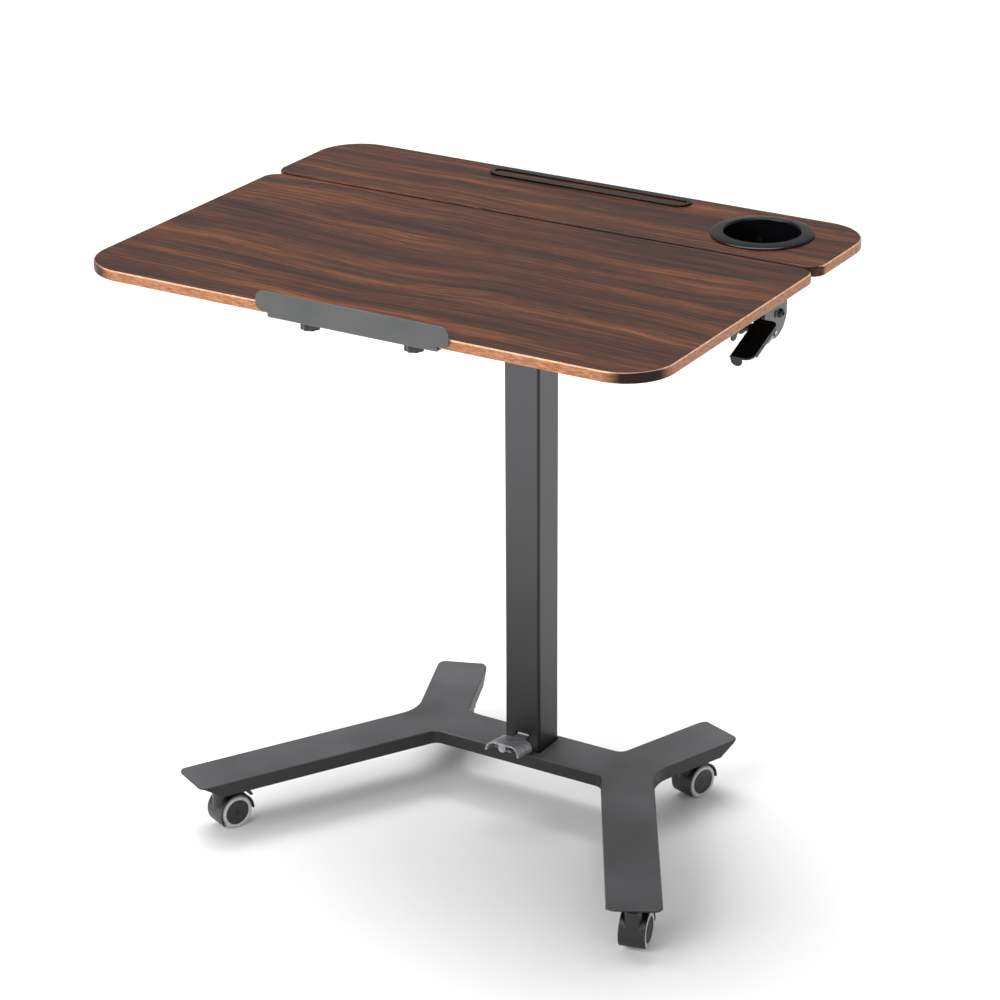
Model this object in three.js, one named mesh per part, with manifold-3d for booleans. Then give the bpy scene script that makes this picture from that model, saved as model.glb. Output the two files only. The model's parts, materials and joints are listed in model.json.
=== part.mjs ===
// A rolling, height-adjustable laptop desk: a four-armed steel base on twin-wheel casters, a telescopic
// square column on a locking gas spring, a fixed rear shelf and a main top that tilts forward.
// Millimetres, +Z up. X runs across the desk, -Y is the user's side. Z = 0 is the floor.
import * as THREE from 'three';
import { mergeVertices } from 'three/addons/utils/BufferGeometryUtils.js';
import Module from 'manifold-3d';

// ---- overall sizes ----
const TOP_WIDTH = 756;
const SURFACE_HEIGHT = 782;   // working surface above the floor, column fully lowered
const BOARD = 13;             // both boards
const MAIN_FRONT = 405;       // front edge, ahead of the column's axis
const MAIN_REAR = 1.5;        // rear edge of the tilting board, behind the column's axis
const BOARD_GAP = 5;          // between the two boards
const SHELF_DEPTH = 162;
const OUTER_CORNER = 60;      // front corners of the top and rear corners of the shelf
const INNER_CORNER = 20;      // corners beside the gap
const EASED_EDGE = 2.5;       // rounding of the boards' long edges
const GAP = 0.3;              // between touching pieces
const SLIDE = 0.5;            // between pieces that move on each other
const UNDERSIDE = SURFACE_HEIGHT - BOARD;
const SHELF_FRONT = MAIN_REAR + BOARD_GAP;
const SHELF_REAR = SHELF_FRONT + SHELF_DEPTH;

// ---- casters ----
const WHEEL_RADIUS = 22;
const WHEEL_WIDTH = 12.8;
const CASTER_HALF_WIDTH = 16.6;
const CASTER_TRAIL = 15;
const HOOD_WALL = 2.2;
const HOOD_TOP = 2 * WHEEL_RADIUS + 12;
const NECK_RADIUS = 10.5;
const WHEEL_ROOM = 3.3;       // from the caster's middle to the inside of a wheel's half of the hood
const STEM_RADIUS = 5;
const STEM_DEPTH = 14;        // how far the stem goes into the hood
const WHEEL_AXLE_RADIUS = 3;

// ---- base ----
const BASE_THICKNESS = 18;
const BASE_BOTTOM = HOOD_TOP + 4;
const BASE_TOP = BASE_BOTTOM + BASE_THICKNESS;
const SHEET = 2.5;
const BAR_FRONT = 36.9;       // crossbar edges from the column's axis
const BAR_REAR = 30.6;
const HUB_X = 139;            // where the leg axes cross the crossbar's axis
const LEG_WIDTH = 67;
const FRONT_LEG = { angle: -59.75, length: 357, stem: 41, skew: -3.2 };
const REAR_LEG = { angle: 69.4, length: 163, stem: 61, skew: 0 };
const TIP_CORNER = 11;
const CROTCH_OUTER = 50;      // fillet between the front and rear leg
const CROTCH_INNER = 13;
const TIP_OVERHANG = 7;       // top plate past the skirt's end
const TIP_BEVEL = 25;         // run of the sloped skirt end
const SOCKET_RADIUS = 12;
const CASTERS = [
  { name: 'caster_front_left', leg: FRONT_LEG, side: -1, turn: 67, brake: true },
  { name: 'caster_front_right', leg: FRONT_LEG, side: 1, turn: 103, brake: true },
  { name: 'caster_rear_left', leg: REAR_LEG, side: -1, turn: 105, brake: false },
  { name: 'caster_rear_right', leg: REAR_LEG, side: 1, turn: 73, brake: false },
];

// ---- column and gas spring ----
const COLUMN = 50;
const COLUMN_WALL = 2;
const COLUMN_CORNER = 4;
const COLLAR = 6.7;
const INNER_TUBE = COLUMN - 2 * COLUMN_WALL - 2;
const INNER_WALL = 1.8;
const HEAD_Z = UNDERSIDE - 66;
const HEAD_PLATE = 5;
const COLUMN_END = HEAD_Z - 2 - COLLAR - GAP;
const FOOT_LIFT = 7.3;        // top of the column's foot plate above the base's underside
const FOOT_PLATE = 5;
const FOOT_PLATE_LENGTH = 112;
const FOOT_BOLT_X = 42;
const FOOT_BOLT_Y = -10;
const FOOT_BOLT_RADIUS = 4;
const FOOT_BOLT_HEAD = 6.5;
const FOOT_SLEEVE = 7;
const BLOCK_Z = BASE_TOP + 28;         // underside of the release block
const BLOCK = 14;
const GLIDE_Z = BLOCK_Z + BLOCK + 1.7;
const GLIDE = 4;
const ROD_RADIUS = 5;
const ROD_TOP = HEAD_Z - 53;
const CYLINDER_RADIUS = 14;
const CYLINDER_Z = GLIDE_Z + 118.3;
const CYLINDER_WALL = 2;
const GLAND = 12;
const PISTON = 8;
const VALVE_RADIUS = 2;

// ---- pedal ----
const PEDAL_PIN_Y = -COLUMN / 2 + 8;
const PEDAL_PIN_Z = BASE_TOP + 16;
const PEDAL_PIN_RADIUS = 3;
const PEDAL_HALF_WIDTH = 24.7;
const PEDAL_REAR = -COLUMN / 2 - 15;
const PEDAL_FRONT = PEDAL_REAR - 36;
const PEDAL_RISE = 10;        // slope of the arch at rest, in degrees
const PEDAL_CROWN = 2.3;      // top of the arch from the pin, before it is sloped
const PEDAL_WING = -11;       // lowest edge of the wings, likewise
const PEDAL_SHOULDER = 12;
const PEDAL_SHEET = 2.6;
const PEDAL_TONGUE_HALF = 5.5;
const PEDAL_TONGUE = 11.5;    // depth of the rib under the crown
const PEDAL_ARM_HALF = 8.5;
const PEDAL_ARM = 4;

// ---- head and tilt ----
const PIVOT_Y = -24;
const PIVOT_DROP = 39;        // tilt axis below the boards' underside
const TILT_PIN_RADIUS = 4;
const BEAM_FRONT = -9;
const BEAM_DEPTH = 50;
const BEAM_HEIGHT = 30;
const BEAM_WALL = 2.5;
const BEAM_END = 290;         // end of the beam's full section, before the slim stubs
const STUB_REAR = 5;
const STUB_FRONT = -19;       // between the tilt arms and the side plates
const QUADRANT_IN = TOP_WIDTH / 2 - 42;    // inner face of the side plates from the centre
const QUADRANT_SHEET = 4;
const QUADRANT_RADIUS = 30;
const QUADRANT_REAR = 29;
const QUADRANT_CORNER = 14;
const QUADRANT_BOLT_Y = 10.3;  // from the tilt axis
const QUADRANT_BOLT_Z = -2;
const QUADRANT_BOLT_RADIUS = 3;
const ARM_OUT = QUADRANT_IN - 16;          // outer face of the tilt arms
const ARM_SHEET = 2.5;
const ARM_FLANGE = 27;
const ARM_LENGTH = 280;
const ARM_DEPTH = 25;
const ARM_EAR = 11;
const SHELF_ARM_X = 185;
const SHELF_ARM_WIDTH = 30;
const SHELF_ARM_END = SHELF_REAR - 20.5;

// ---- paddle ----
const PADDLE_Y = -71;         // hinge pin
const PADDLE_DROP = 42.5;     // hinge pin below the boards' underside
const PADDLE_SLOPE = 20.7;
const PADDLE_IN = QUADRANT_IN + 2;
const PADDLE_WIDTH = 28;
const PADDLE_LENGTH = 69.8;
const PADDLE_SHEET = 3;
const PADDLE_RISE = 12.6;     // top of the paddle above its pin
const PADDLE_PIN_RADIUS = 2.5;
const PADDLE_HUB_RADIUS = 5;
const PADDLE_TAB_WIDTH = 14;
const PADDLE_TAB = 11;
const SHOE_ANGLE = 198;       // where the brake shoe bears on the quadrant's rim
const BRACKET_SHEET = 2.5;

// ---- shelf fittings ----
const CUP_X = TOP_WIDTH / 2 - 113;
const CUP_Y = SHELF_FRONT + SHELF_DEPTH / 2;
const CUP_RADIUS = 46;
const CUP_FLANGE = CUP_RADIUS + 16;
const CUP_DEPTH = 38;
const CUP_WALL = 2;
const CUP_DRAIN = 6;
const CUP_RISE = 4;
const SLOT_LENGTH = 282;
const SLOT_WIDTH = 31;
const SLOT_OPENING = 13;
const SLOT_Y = SHELF_REAR - 26;
const SLOT_DEPTH = 10;
const SLOT_RIM = 2.5;
const SLOT_WALL = 2;

// ---- front stop ----
const STOP_X = 8;
const STOP_LENGTH = 254;
const STOP_LOWER_LENGTH = 222;
const STOP_RISE = 14;         // above the working surface
const STOP_UPPER = 23.5;      // height of the full-length part
const STOP_SHEET = 2.5;
const STOP_FLANGE = 36;
const STOP_TRAVEL = 10;
const KNOB_SPACING = 137;
const KNOB_Y = 20;            // behind the main top's front edge
const KNOB_RADIUS = 11.8;
const KNOB_HEIGHT = 9;
const KNOB_FLUTES = 8;
const STUD_RADIUS = 3;
const STUD_DEPTH = 9;

// ---- derived levels ----
const PIVOT_Z = UNDERSIDE - PIVOT_DROP;
const BEAM_Z = HEAD_Z + HEAD_PLATE + GAP;
const BEAM_TOP = BEAM_Z + BEAM_HEIGHT;
const STOP_FRONT = MAIN_FRONT + SLIDE + STOP_SHEET;
const COLUMN_Y = (STOP_FRONT - SHELF_REAR) / 2;   // puts the origin under the middle of the whole desk

// ---- finishes ----
const finish = (color, roughness, metalness) => new THREE.MeshStandardMaterial({ color, roughness, metalness });
const walnut = finish(0x4a2a1c, 0.45, 0);
const charcoal = finish(0x55555a, 0.5, 0.4);
const greyPaint = finish(0x74787c, 0.4, 0.4);
const zinc = finish(0xa8abb0, 0.35, 0.9);
const blackPlastic = finish(0x17181a, 0.35, 0);
const hoodPlastic = finish(0x2a2b2d, 0.5, 0);
const tyreGrey = finish(0x8f9194, 0.6, 0);
const pedalMetal = finish(0x85888c, 0.35, 0.7);

// ---- solids ----
const wasm = await Module();
wasm.setup();
const radians = THREE.MathUtils.degToRad;
const ROUND = 32;
const SMALL_ROUND = 16;

function solid(geometry) {
  const bare = geometry.clone();
  bare.deleteAttribute('normal');
  bare.deleteAttribute('uv');
  const merged = mergeVertices(bare, 1e-4);
  const corners = merged.index.array;
  const kept = [];
  for (let i = 0; i < corners.length; i += 3) {
    const [a, b, c] = corners.subarray(i, i + 3);
    if (a !== b && b !== c && c !== a) kept.push(a, b, c);
  }
  const mesh = new wasm.Mesh({
    numProp: 3,
    vertProperties: new Float32Array(merged.attributes.position.array),
    triVerts: new Uint32Array(kept),
  });
  return new wasm.Manifold(mesh);
}

function toGeometry(body) {
  const mesh = body.getMesh();
  const geometry = new THREE.BufferGeometry();
  geometry.setAttribute('position', new THREE.BufferAttribute(mesh.vertProperties, 3));
  geometry.setIndex(new THREE.BufferAttribute(mesh.triVerts, 1));
  return geometry;
}

const join = (first, ...rest) => toGeometry(rest.reduce((sum, g) => sum.add(solid(g)), solid(first)));
const cut = (first, ...rest) => toGeometry(rest.reduce((left, g) => left.subtract(solid(g)), solid(first)));

// Corners are [x, y, radius]; a radius of 0 or none leaves the corner sharp.
function rounded(corners, steps = 5) {
  const outline = [];
  corners.forEach(([x, y, radius = 0], i) => {
    const here = new THREE.Vector2(x, y);
    const [px, py] = corners.at(i - 1);
    const [nx, ny] = corners[(i + 1) % corners.length];
    const back = new THREE.Vector2(px, py).sub(here).normalize();
    const ahead = new THREE.Vector2(nx, ny).sub(here).normalize();
    const half = back.angleTo(ahead) / 2;
    if (radius <= 0) {
      outline.push(here);
      return;
    }
    const centre = back.clone().add(ahead).normalize().multiplyScalar(radius / Math.sin(half)).add(here);
    const reach = radius / Math.tan(half);
    const start = here.clone().addScaledVector(back, reach).sub(centre);
    const turn = Math.sign(back.cross(ahead)) * -(Math.PI - 2 * half);
    for (let k = 0; k <= steps; k += 1) {
      outline.push(start.clone().rotateAround(new THREE.Vector2(), (turn * k) / steps).add(centre));
    }
  });
  return new THREE.Shape(outline);
}

const rectangle = (x0, y0, x1, y1, radius = 0, steps = 4) =>
  rounded([[x0, y0, radius], [x1, y0, radius], [x1, y1, radius], [x0, y1, radius]], steps);
const capsule = (length, width, steps = 8) =>
  rectangle(-length / 2, -width / 2, length / 2, width / 2, width / 2 - 0.01, steps);
const extrude = (shape, depth, steps = 6) =>
  new THREE.ExtrudeGeometry(shape, { depth, bevelEnabled: false, curveSegments: steps });

// Plan outlines go up Z, side outlines (y, z) go along X, and front outlines (x, z) go along Y.
const upZ = (shape, z0, z1) => extrude(shape, z1 - z0).translate(0, 0, z0);
const alongX = (shape, x0, x1) => extrude(shape, x1 - x0)
  .applyMatrix4(new THREE.Matrix4().set(0, 0, 1, x0, 1, 0, 0, 0, 0, 1, 0, 0, 0, 0, 0, 1));
const alongY = (shape, y0, y1) => extrude(shape, y1 - y0)
  .applyMatrix4(new THREE.Matrix4().set(1, 0, 0, 0, 0, 0, -1, y1, 0, 1, 0, 0, 0, 0, 0, 1));
const lathe = (profile, segments = ROUND) =>
  new THREE.LatheGeometry(profile.map(([r, z]) => new THREE.Vector2(r, z)), segments).rotateX(Math.PI / 2);
const rodZ = (radius, z0, z1, segments = SMALL_ROUND) =>
  lathe([[0, z0], [radius, z0], [radius, z1], [0, z1]], segments);
const rodX = (radius, x0, x1, segments = SMALL_ROUND) => rodZ(radius, x0, x1, segments).rotateY(Math.PI / 2);
const rodY = (radius, y0, y1, segments = SMALL_ROUND) => rodZ(radius, -y1, -y0, segments).rotateX(Math.PI / 2);
const squareTube = (size, wall, corner, z0, z1) => {
  const outer = upZ(rectangle(-size / 2, -size / 2, size / 2, size / 2, corner), z0, z1);
  const inside = size / 2 - wall;
  return cut(outer, upZ(rectangle(-inside, -inside, inside, inside, corner - wall), z0 - 1, z1 + 1));
};

function piece(name, geometry, material, parent) {
  const mesh = new THREE.Mesh(geometry, material);
  mesh.name = name;
  parent.add(mesh);
  return mesh;
}

function group(parent, x = 0, y = 0, z = 0) {
  const made = new THREE.Group();
  made.position.set(x, y, z);
  parent.add(made);
  return made;
}

const desk = new THREE.Group();
desk.position.y = COLUMN_Y;

// ---- base ----
const legPoint = (leg, along, across = 0) => {
  const a = radians(leg.angle);
  return [HUB_X + along * Math.cos(a) - across * Math.sin(a), along * Math.sin(a) + across * Math.cos(a)];
};

// Where the line through p in direction a meets the line through q in direction b (degrees).
function crossing(p, a, q, b) {
  const [ax, ay, bx, by] = [Math.cos(radians(a)), Math.sin(radians(a)), Math.cos(radians(b)), Math.sin(radians(b))];
  const t = ((q[0] - p[0]) * by - (q[1] - p[1]) * bx) / (ax * by - ay * bx);
  return [p[0] + t * ax, p[1] + t * ay];
}

// The four-armed plan outline, moved inward by inset.
function baseOutline(inset) {
  const half = LEG_WIDTH / 2 - inset;
  const edge = (leg, side) => legPoint(leg, 0, side * half);
  const tip = (leg, side) => crossing(edge(leg, side), leg.angle,
    legPoint(leg, leg.length - inset), leg.angle + 90 + leg.skew);
  const bar = (y) => [0, y];
  const tipCorner = Math.max(TIP_CORNER - inset, 1);
  const right = [
    [...crossing(bar(-BAR_FRONT + inset), 0, edge(FRONT_LEG, -1), FRONT_LEG.angle), CROTCH_INNER + inset],
    [...tip(FRONT_LEG, -1), tipCorner],
    [...tip(FRONT_LEG, 1), tipCorner],
    [...crossing(edge(FRONT_LEG, 1), FRONT_LEG.angle, edge(REAR_LEG, -1), REAR_LEG.angle), CROTCH_OUTER + inset],
    [...tip(REAR_LEG, -1), tipCorner],
    [...tip(REAR_LEG, 1), tipCorner],
    [...crossing(edge(REAR_LEG, 1), REAR_LEG.angle, bar(BAR_REAR - inset), 0), CROTCH_INNER + inset],
  ];
  const left = right.map(([x, y, r]) => [-x, y, r]).reverse();
  return rounded([...right, ...left]);
}

// What the sloped end of a leg's skirt leaves out, in a leg's own line and then turned and placed.
function tipWedge(leg, side, back) {
  const start = leg.length - TIP_OVERHANG - back;
  const top = BASE_TOP - SHEET;
  const bottom = BASE_BOTTOM - 1;
  const run = TIP_BEVEL * (top - bottom) / (top - BASE_BOTTOM);
  const profile = new THREE.Shape([
    new THREE.Vector2(start - run, bottom),
    new THREE.Vector2(leg.length + 40, bottom),
    new THREE.Vector2(leg.length + 40, top),
    new THREE.Vector2(start, top),
  ]);
  const angle = side > 0 ? leg.angle : 180 - leg.angle;
  return alongY(profile, -LEG_WIDTH, LEG_WIDTH).rotateZ(radians(angle)).translate(side * HUB_X, 0, 0);
}

const legEnds = [[FRONT_LEG, -1], [FRONT_LEG, 1], [REAR_LEG, -1], [REAR_LEG, 1]];
const stemPlace = (leg, side) => {
  const [x, y] = legPoint(leg, leg.length - leg.stem);
  return [side * x, y];
};
const stemTop = BASE_TOP - SHEET - 1;
const socketBottom = HOOD_TOP + 2;
const footTop = BASE_BOTTOM + FOOT_LIFT;
const footBolts = [-FOOT_BOLT_X, FOOT_BOLT_X];

function baseShell() {
  const outside = cut(upZ(baseOutline(0), BASE_BOTTOM, BASE_TOP), ...legEnds.map(([l, s]) => tipWedge(l, s, 0)));
  const hollow = cut(upZ(baseOutline(SHEET), BASE_BOTTOM - 1, BASE_TOP - SHEET),
    ...legEnds.map(([l, s]) => tipWedge(l, s, SHEET * 1.4)));
  const sockets = legEnds.map(([leg, side]) => rodZ(SOCKET_RADIUS, socketBottom, BASE_TOP - 1, ROUND)
    .translate(...stemPlace(leg, side), 0));
  const sleeves = footBolts.map((x) => rodZ(FOOT_SLEEVE, footTop + GAP, BASE_TOP - 1).translate(x, FOOT_BOLT_Y, 0));
  const bores = legEnds.map(([leg, side]) => rodZ(STEM_RADIUS + GAP, socketBottom - 1, stemTop + GAP)
    .translate(...stemPlace(leg, side), 0));
  const threads = footBolts.map((x) => rodZ(FOOT_BOLT_RADIUS + GAP, footTop - 1, BASE_TOP - SHEET)
    .translate(x, FOOT_BOLT_Y, 0));
  const opening = COLUMN / 2 + GAP;
  const columnHole = upZ(rectangle(-opening, -opening, opening, opening, COLUMN_CORNER), BASE_BOTTOM, BASE_TOP + 1);
  return cut(join(cut(outside, hollow), ...sockets, ...sleeves), ...bores, ...threads, columnHole);
}

const base = group(desk);
piece('base_shell', baseShell(), charcoal, base);

const footHalf = FOOT_PLATE_LENGTH / 2;
const footPlate = upZ(rectangle(-footHalf, -BAR_FRONT + SHEET + 2, footHalf, BAR_REAR - SHEET - 2, 5),
  footTop - FOOT_PLATE, footTop);
piece('column_foot', cut(footPlate, ...footBolts.map((x) => rodZ(FOOT_BOLT_RADIUS + GAP, 0, footTop + 1)
  .translate(x, FOOT_BOLT_Y, 0))), charcoal, base);
footBolts.forEach((x, i) => {
  const head = BASE_BOTTOM - 2;
  const under = footTop - FOOT_PLATE - GAP;
  const end = BASE_TOP - SHEET - 2;
  const bolt = lathe([[0, head], [FOOT_BOLT_HEAD - 1, head], [FOOT_BOLT_HEAD, head + 1], [FOOT_BOLT_HEAD, under],
    [FOOT_BOLT_RADIUS, under], [FOOT_BOLT_RADIUS, end], [0, end]], 12);
  piece(`foot_bolt_${i + 1}`, bolt, zinc, base).position.set(x, FOOT_BOLT_Y, 0);
});

// ---- column, fixed part ----
const pedalSlot = alongY(rectangle(-10, PEDAL_PIN_Z - 8, 10, PEDAL_PIN_Z + 7, 3), -COLUMN / 2 - 1, -COLUMN / 2 + 5);
const columnTube = squareTube(COLUMN, COLUMN_WALL, COLUMN_CORNER, footTop + GAP, COLUMN_END);
piece('column_tube', cut(columnTube, pedalSlot), charcoal, base);
const collarHole = INNER_TUBE / 2 + SLIDE;
piece('column_collar', squareTube(COLUMN, COLUMN / 2 - collarHole, COLUMN_CORNER, COLUMN_END + GAP,
  COLUMN_END + GAP + COLLAR), blackPlastic, base);

const blockHalf = COLUMN / 2 - COLUMN_WALL - GAP;
const blockTop = BLOCK_Z + BLOCK;
const rodBottom = BLOCK_Z + 4;
const cheekIn = PEDAL_ARM_HALF + 2;
const cheekOut = cheekIn + 6;
function releaseBlock() {
  const body = upZ(rectangle(-blockHalf, -blockHalf, blockHalf, blockHalf, 2), BLOCK_Z, blockTop);
  const cheek = (x0, x1) => alongX(rectangle(PEDAL_PIN_Y - 5, PEDAL_PIN_Z - 7, PEDAL_PIN_Y + 7, BLOCK_Z + 2), x0, x1);
  const whole = join(body, cheek(-cheekOut, -cheekIn), cheek(cheekIn, cheekOut));
  return cut(whole, rodZ(ROD_RADIUS + GAP, rodBottom - GAP, blockTop + 1), rodZ(VALVE_RADIUS + SLIDE, BLOCK_Z - 1,
    rodBottom + 1), rodX(PEDAL_PIN_RADIUS + GAP, -30, 30).translate(0, PEDAL_PIN_Y, PEDAL_PIN_Z));
}
piece('release_block', releaseBlock(), zinc, base);
piece('pedal_pin', rodX(PEDAL_PIN_RADIUS, -cheekOut, cheekOut), zinc, base).position.set(0, PEDAL_PIN_Y, PEDAL_PIN_Z);

const valveBore = rodBottom + 26;
const rodProfile = [[VALVE_RADIUS + SLIDE, rodBottom], [ROD_RADIUS, rodBottom], [ROD_RADIUS, ROD_TOP - PISTON],
  [CYLINDER_RADIUS - CYLINDER_WALL - SLIDE, ROD_TOP - PISTON], [CYLINDER_RADIUS - CYLINDER_WALL - SLIDE, ROD_TOP],
  [0, ROD_TOP], [0, valveBore], [VALVE_RADIUS + SLIDE, valveBore], [VALVE_RADIUS + SLIDE, rodBottom]];
piece('gas_spring_rod', lathe(rodProfile, SMALL_ROUND), zinc, base);

// ---- pedal and valve pin: the pedal's own frame is its hinge pin ----
const pedal = group(desk, 0, PEDAL_PIN_Y, PEDAL_PIN_Z);
function footPedal() {
  const [front, rear] = [PEDAL_FRONT - PEDAL_PIN_Y, PEDAL_REAR - PEDAL_PIN_Y];
  const profile = (inset, bottom) => {
    const [half, crown, radius] = [PEDAL_HALF_WIDTH - inset, PEDAL_CROWN - inset, PEDAL_SHOULDER - inset];
    return rounded([[-half, bottom], [-half, crown, radius], [half, crown, radius], [half, bottom]], 6);
  };
  const arch = cut(alongY(profile(0, PEDAL_WING), front, rear),
    alongY(profile(PEDAL_SHEET, PEDAL_WING - 1), front - 1, rear + 1));
  const [half, low] = [PEDAL_TONGUE_HALF, PEDAL_CROWN - PEDAL_TONGUE];
  const tongue = alongY(rounded([[-half, PEDAL_CROWN - 1], [-half, low, half - 0.3], [half, low, half - 0.3],
    [half, PEDAL_CROWN - 1]]), front, rear);
  const raised = join(arch, tongue).rotateX(radians(-PEDAL_RISE));
  const arm = alongX(rectangle(front + 9, -2, 4 - PEDAL_PIN_Y, PEDAL_ARM - 2, 0), -PEDAL_ARM_HALF, PEDAL_ARM_HALF);
  const hub = rodX(6, -PEDAL_ARM_HALF, PEDAL_ARM_HALF, ROUND);
  return cut(join(raised, arm, hub), rodX(PEDAL_PIN_RADIUS + GAP, -30, 30));
}
piece('foot_pedal', footPedal(), pedalMetal, pedal);
const valvePin = PEDAL_PIN_Z + PEDAL_ARM - 2 + 0.4;
piece('valve_pin', rodZ(VALVE_RADIUS, valvePin, valveBore - 8, 12), zinc, desk);

// ---- lifting column and head ----
const lift = group(desk);
const innerTube = squareTube(INNER_TUBE, INNER_WALL, COLUMN_CORNER - 1, GLIDE_Z + GLIDE + GAP, HEAD_Z + 1);
const headPlate = upZ(rectangle(-60, -INNER_TUBE / 2, 60, BEAM_FRONT + BEAM_DEPTH, 6), HEAD_Z, HEAD_Z + HEAD_PLATE);
piece('inner_tube', join(innerTube, headPlate), charcoal, lift);
piece('lower_glide', squareTube(COLUMN - 2 * COLUMN_WALL - 2 * GAP, 6, 2.5, GLIDE_Z, GLIDE_Z + GLIDE),
  blackPlastic, lift);
const bore = CYLINDER_RADIUS - CYLINDER_WALL;
piece('gas_spring_cylinder', lathe([[ROD_RADIUS + GAP, CYLINDER_Z], [CYLINDER_RADIUS, CYLINDER_Z],
  [CYLINDER_RADIUS, HEAD_Z - GAP], [0, HEAD_Z - GAP], [0, HEAD_Z - 10], [bore, HEAD_Z - 10],
  [bore, CYLINDER_Z + GLAND], [ROD_RADIUS + GAP, CYLINDER_Z + GLAND], [ROD_RADIUS + GAP, CYLINDER_Z]], 24),
blackPlastic, lift);

const beamEnd = QUADRANT_IN - GAP;
const boltY = PIVOT_Y + QUADRANT_BOLT_Y;
const boltZ = PIVOT_Z + QUADRANT_BOLT_Z;
function crossBeam() {
  const [y0, y1] = [BEAM_FRONT, BEAM_FRONT + BEAM_DEPTH];
  const blockIn = ARM_OUT + 1;
  const whole = alongX(rectangle(y0, BEAM_Z, y1, BEAM_TOP, 3), -BEAM_END, BEAM_END);
  const wall = BEAM_WALL;
  const inside = alongX(rectangle(y0 + wall, BEAM_Z + wall, y1 - wall, BEAM_TOP - wall), -BEAM_END - 1, BEAM_END + 1);
  const root = BEAM_END - 30;
  const stubs = [[-beamEnd, -root, y0], [root, beamEnd, y0], [-beamEnd, -blockIn, STUB_FRONT],
    [blockIn, beamEnd, STUB_FRONT]].map(([x0, x1, front]) =>
    alongX(rectangle(front, BEAM_Z + 3, STUB_REAR, BEAM_TOP - 3, 1), x0, x1));
  const hole = rodX(QUADRANT_BOLT_RADIUS + GAP, QUADRANT_IN - 13, beamEnd + 1).translate(0, boltY, boltZ);
  const otherHole = rodX(QUADRANT_BOLT_RADIUS + GAP, -beamEnd - 1, 13 - QUADRANT_IN).translate(0, boltY, boltZ);
  return cut(join(cut(whole, inside), ...stubs), hole, otherHole);
}
piece('cross_beam', crossBeam(), charcoal, lift);

function quadrant() {
  const r = QUADRANT_RADIUS;
  const up = PIVOT_DROP - 2;
  const lowest = -Math.acos(QUADRANT_REAR / r);
  const outline = Array.from({ length: 25 }, (_, k) => {
    const a = Math.PI / 2 + (k / 24) * (1.5 * Math.PI + lowest);
    return new THREE.Vector2(r * Math.cos(a), r * Math.sin(a));
  });
  for (let k = 0; k <= 5; k += 1) {
    const a = (k / 10) * Math.PI;
    outline.push(new THREE.Vector2(QUADRANT_REAR - QUADRANT_CORNER * (1 - Math.cos(a)),
      up - QUADRANT_CORNER * (1 - Math.sin(a))));
  }
  outline.push(new THREE.Vector2(0, up));
  const plate = alongX(new THREE.Shape(outline), 0, QUADRANT_SHEET);
  const bolt = rodX(QUADRANT_BOLT_RADIUS + GAP, -1, QUADRANT_SHEET + 1)
    .translate(0, QUADRANT_BOLT_Y, QUADRANT_BOLT_Z);
  return cut(plate, rodX(TILT_PIN_RADIUS + GAP, -1, QUADRANT_SHEET + 1), bolt);
}
for (const [side, word] of [[-1, 'left'], [1, 'right']]) {
  const face = side > 0 ? QUADRANT_IN : -QUADRANT_IN - QUADRANT_SHEET;
  piece(`quadrant_${word}`, quadrant(), greyPaint, lift).position.set(face, PIVOT_Y, PIVOT_Z);
  const pin = rodX(TILT_PIN_RADIUS, ARM_OUT - ARM_SHEET - 2, QUADRANT_IN + QUADRANT_SHEET + 1);
  const bolt = lathe([[0, QUADRANT_IN - 12], [QUADRANT_BOLT_RADIUS, QUADRANT_IN - 12],
    [QUADRANT_BOLT_RADIUS, QUADRANT_IN + QUADRANT_SHEET + GAP], [5.5, QUADRANT_IN + QUADRANT_SHEET + GAP],
    [5.2, QUADRANT_IN + QUADRANT_SHEET + 3.4], [3.4, QUADRANT_IN + QUADRANT_SHEET + 4.6],
    [0, QUADRANT_IN + QUADRANT_SHEET + 5]], SMALL_ROUND).rotateY(Math.PI / 2);
  const turn = side > 0 ? 0 : Math.PI;
  const pinMesh = piece(`tilt_pin_${word}`, pin, blackPlastic, lift);
  const boltMesh = piece(`quadrant_bolt_${word}`, bolt, blackPlastic, lift);
  pinMesh.position.set(0, PIVOT_Y, PIVOT_Z);
  boltMesh.position.set(0, boltY, boltZ);
  pinMesh.rotation.z = turn;
  boltMesh.rotation.z = turn;
  const arm = alongY(rectangle(-SHELF_ARM_WIDTH / 2, BEAM_TOP + GAP, SHELF_ARM_WIDTH / 2, UNDERSIDE - GAP, 2),
    BEAM_FRONT + 1, SHELF_ARM_END);
  const channel = alongY(rectangle(-SHELF_ARM_WIDTH / 2 + BEAM_WALL, BEAM_TOP - 1, SHELF_ARM_WIDTH / 2 - BEAM_WALL,
    UNDERSIDE - GAP - BEAM_WALL), BEAM_FRONT, SHELF_ARM_END + 1);
  piece(`shelf_arm_${word}`, cut(arm, channel), charcoal, lift).position.x = side * SHELF_ARM_X;
}

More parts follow.
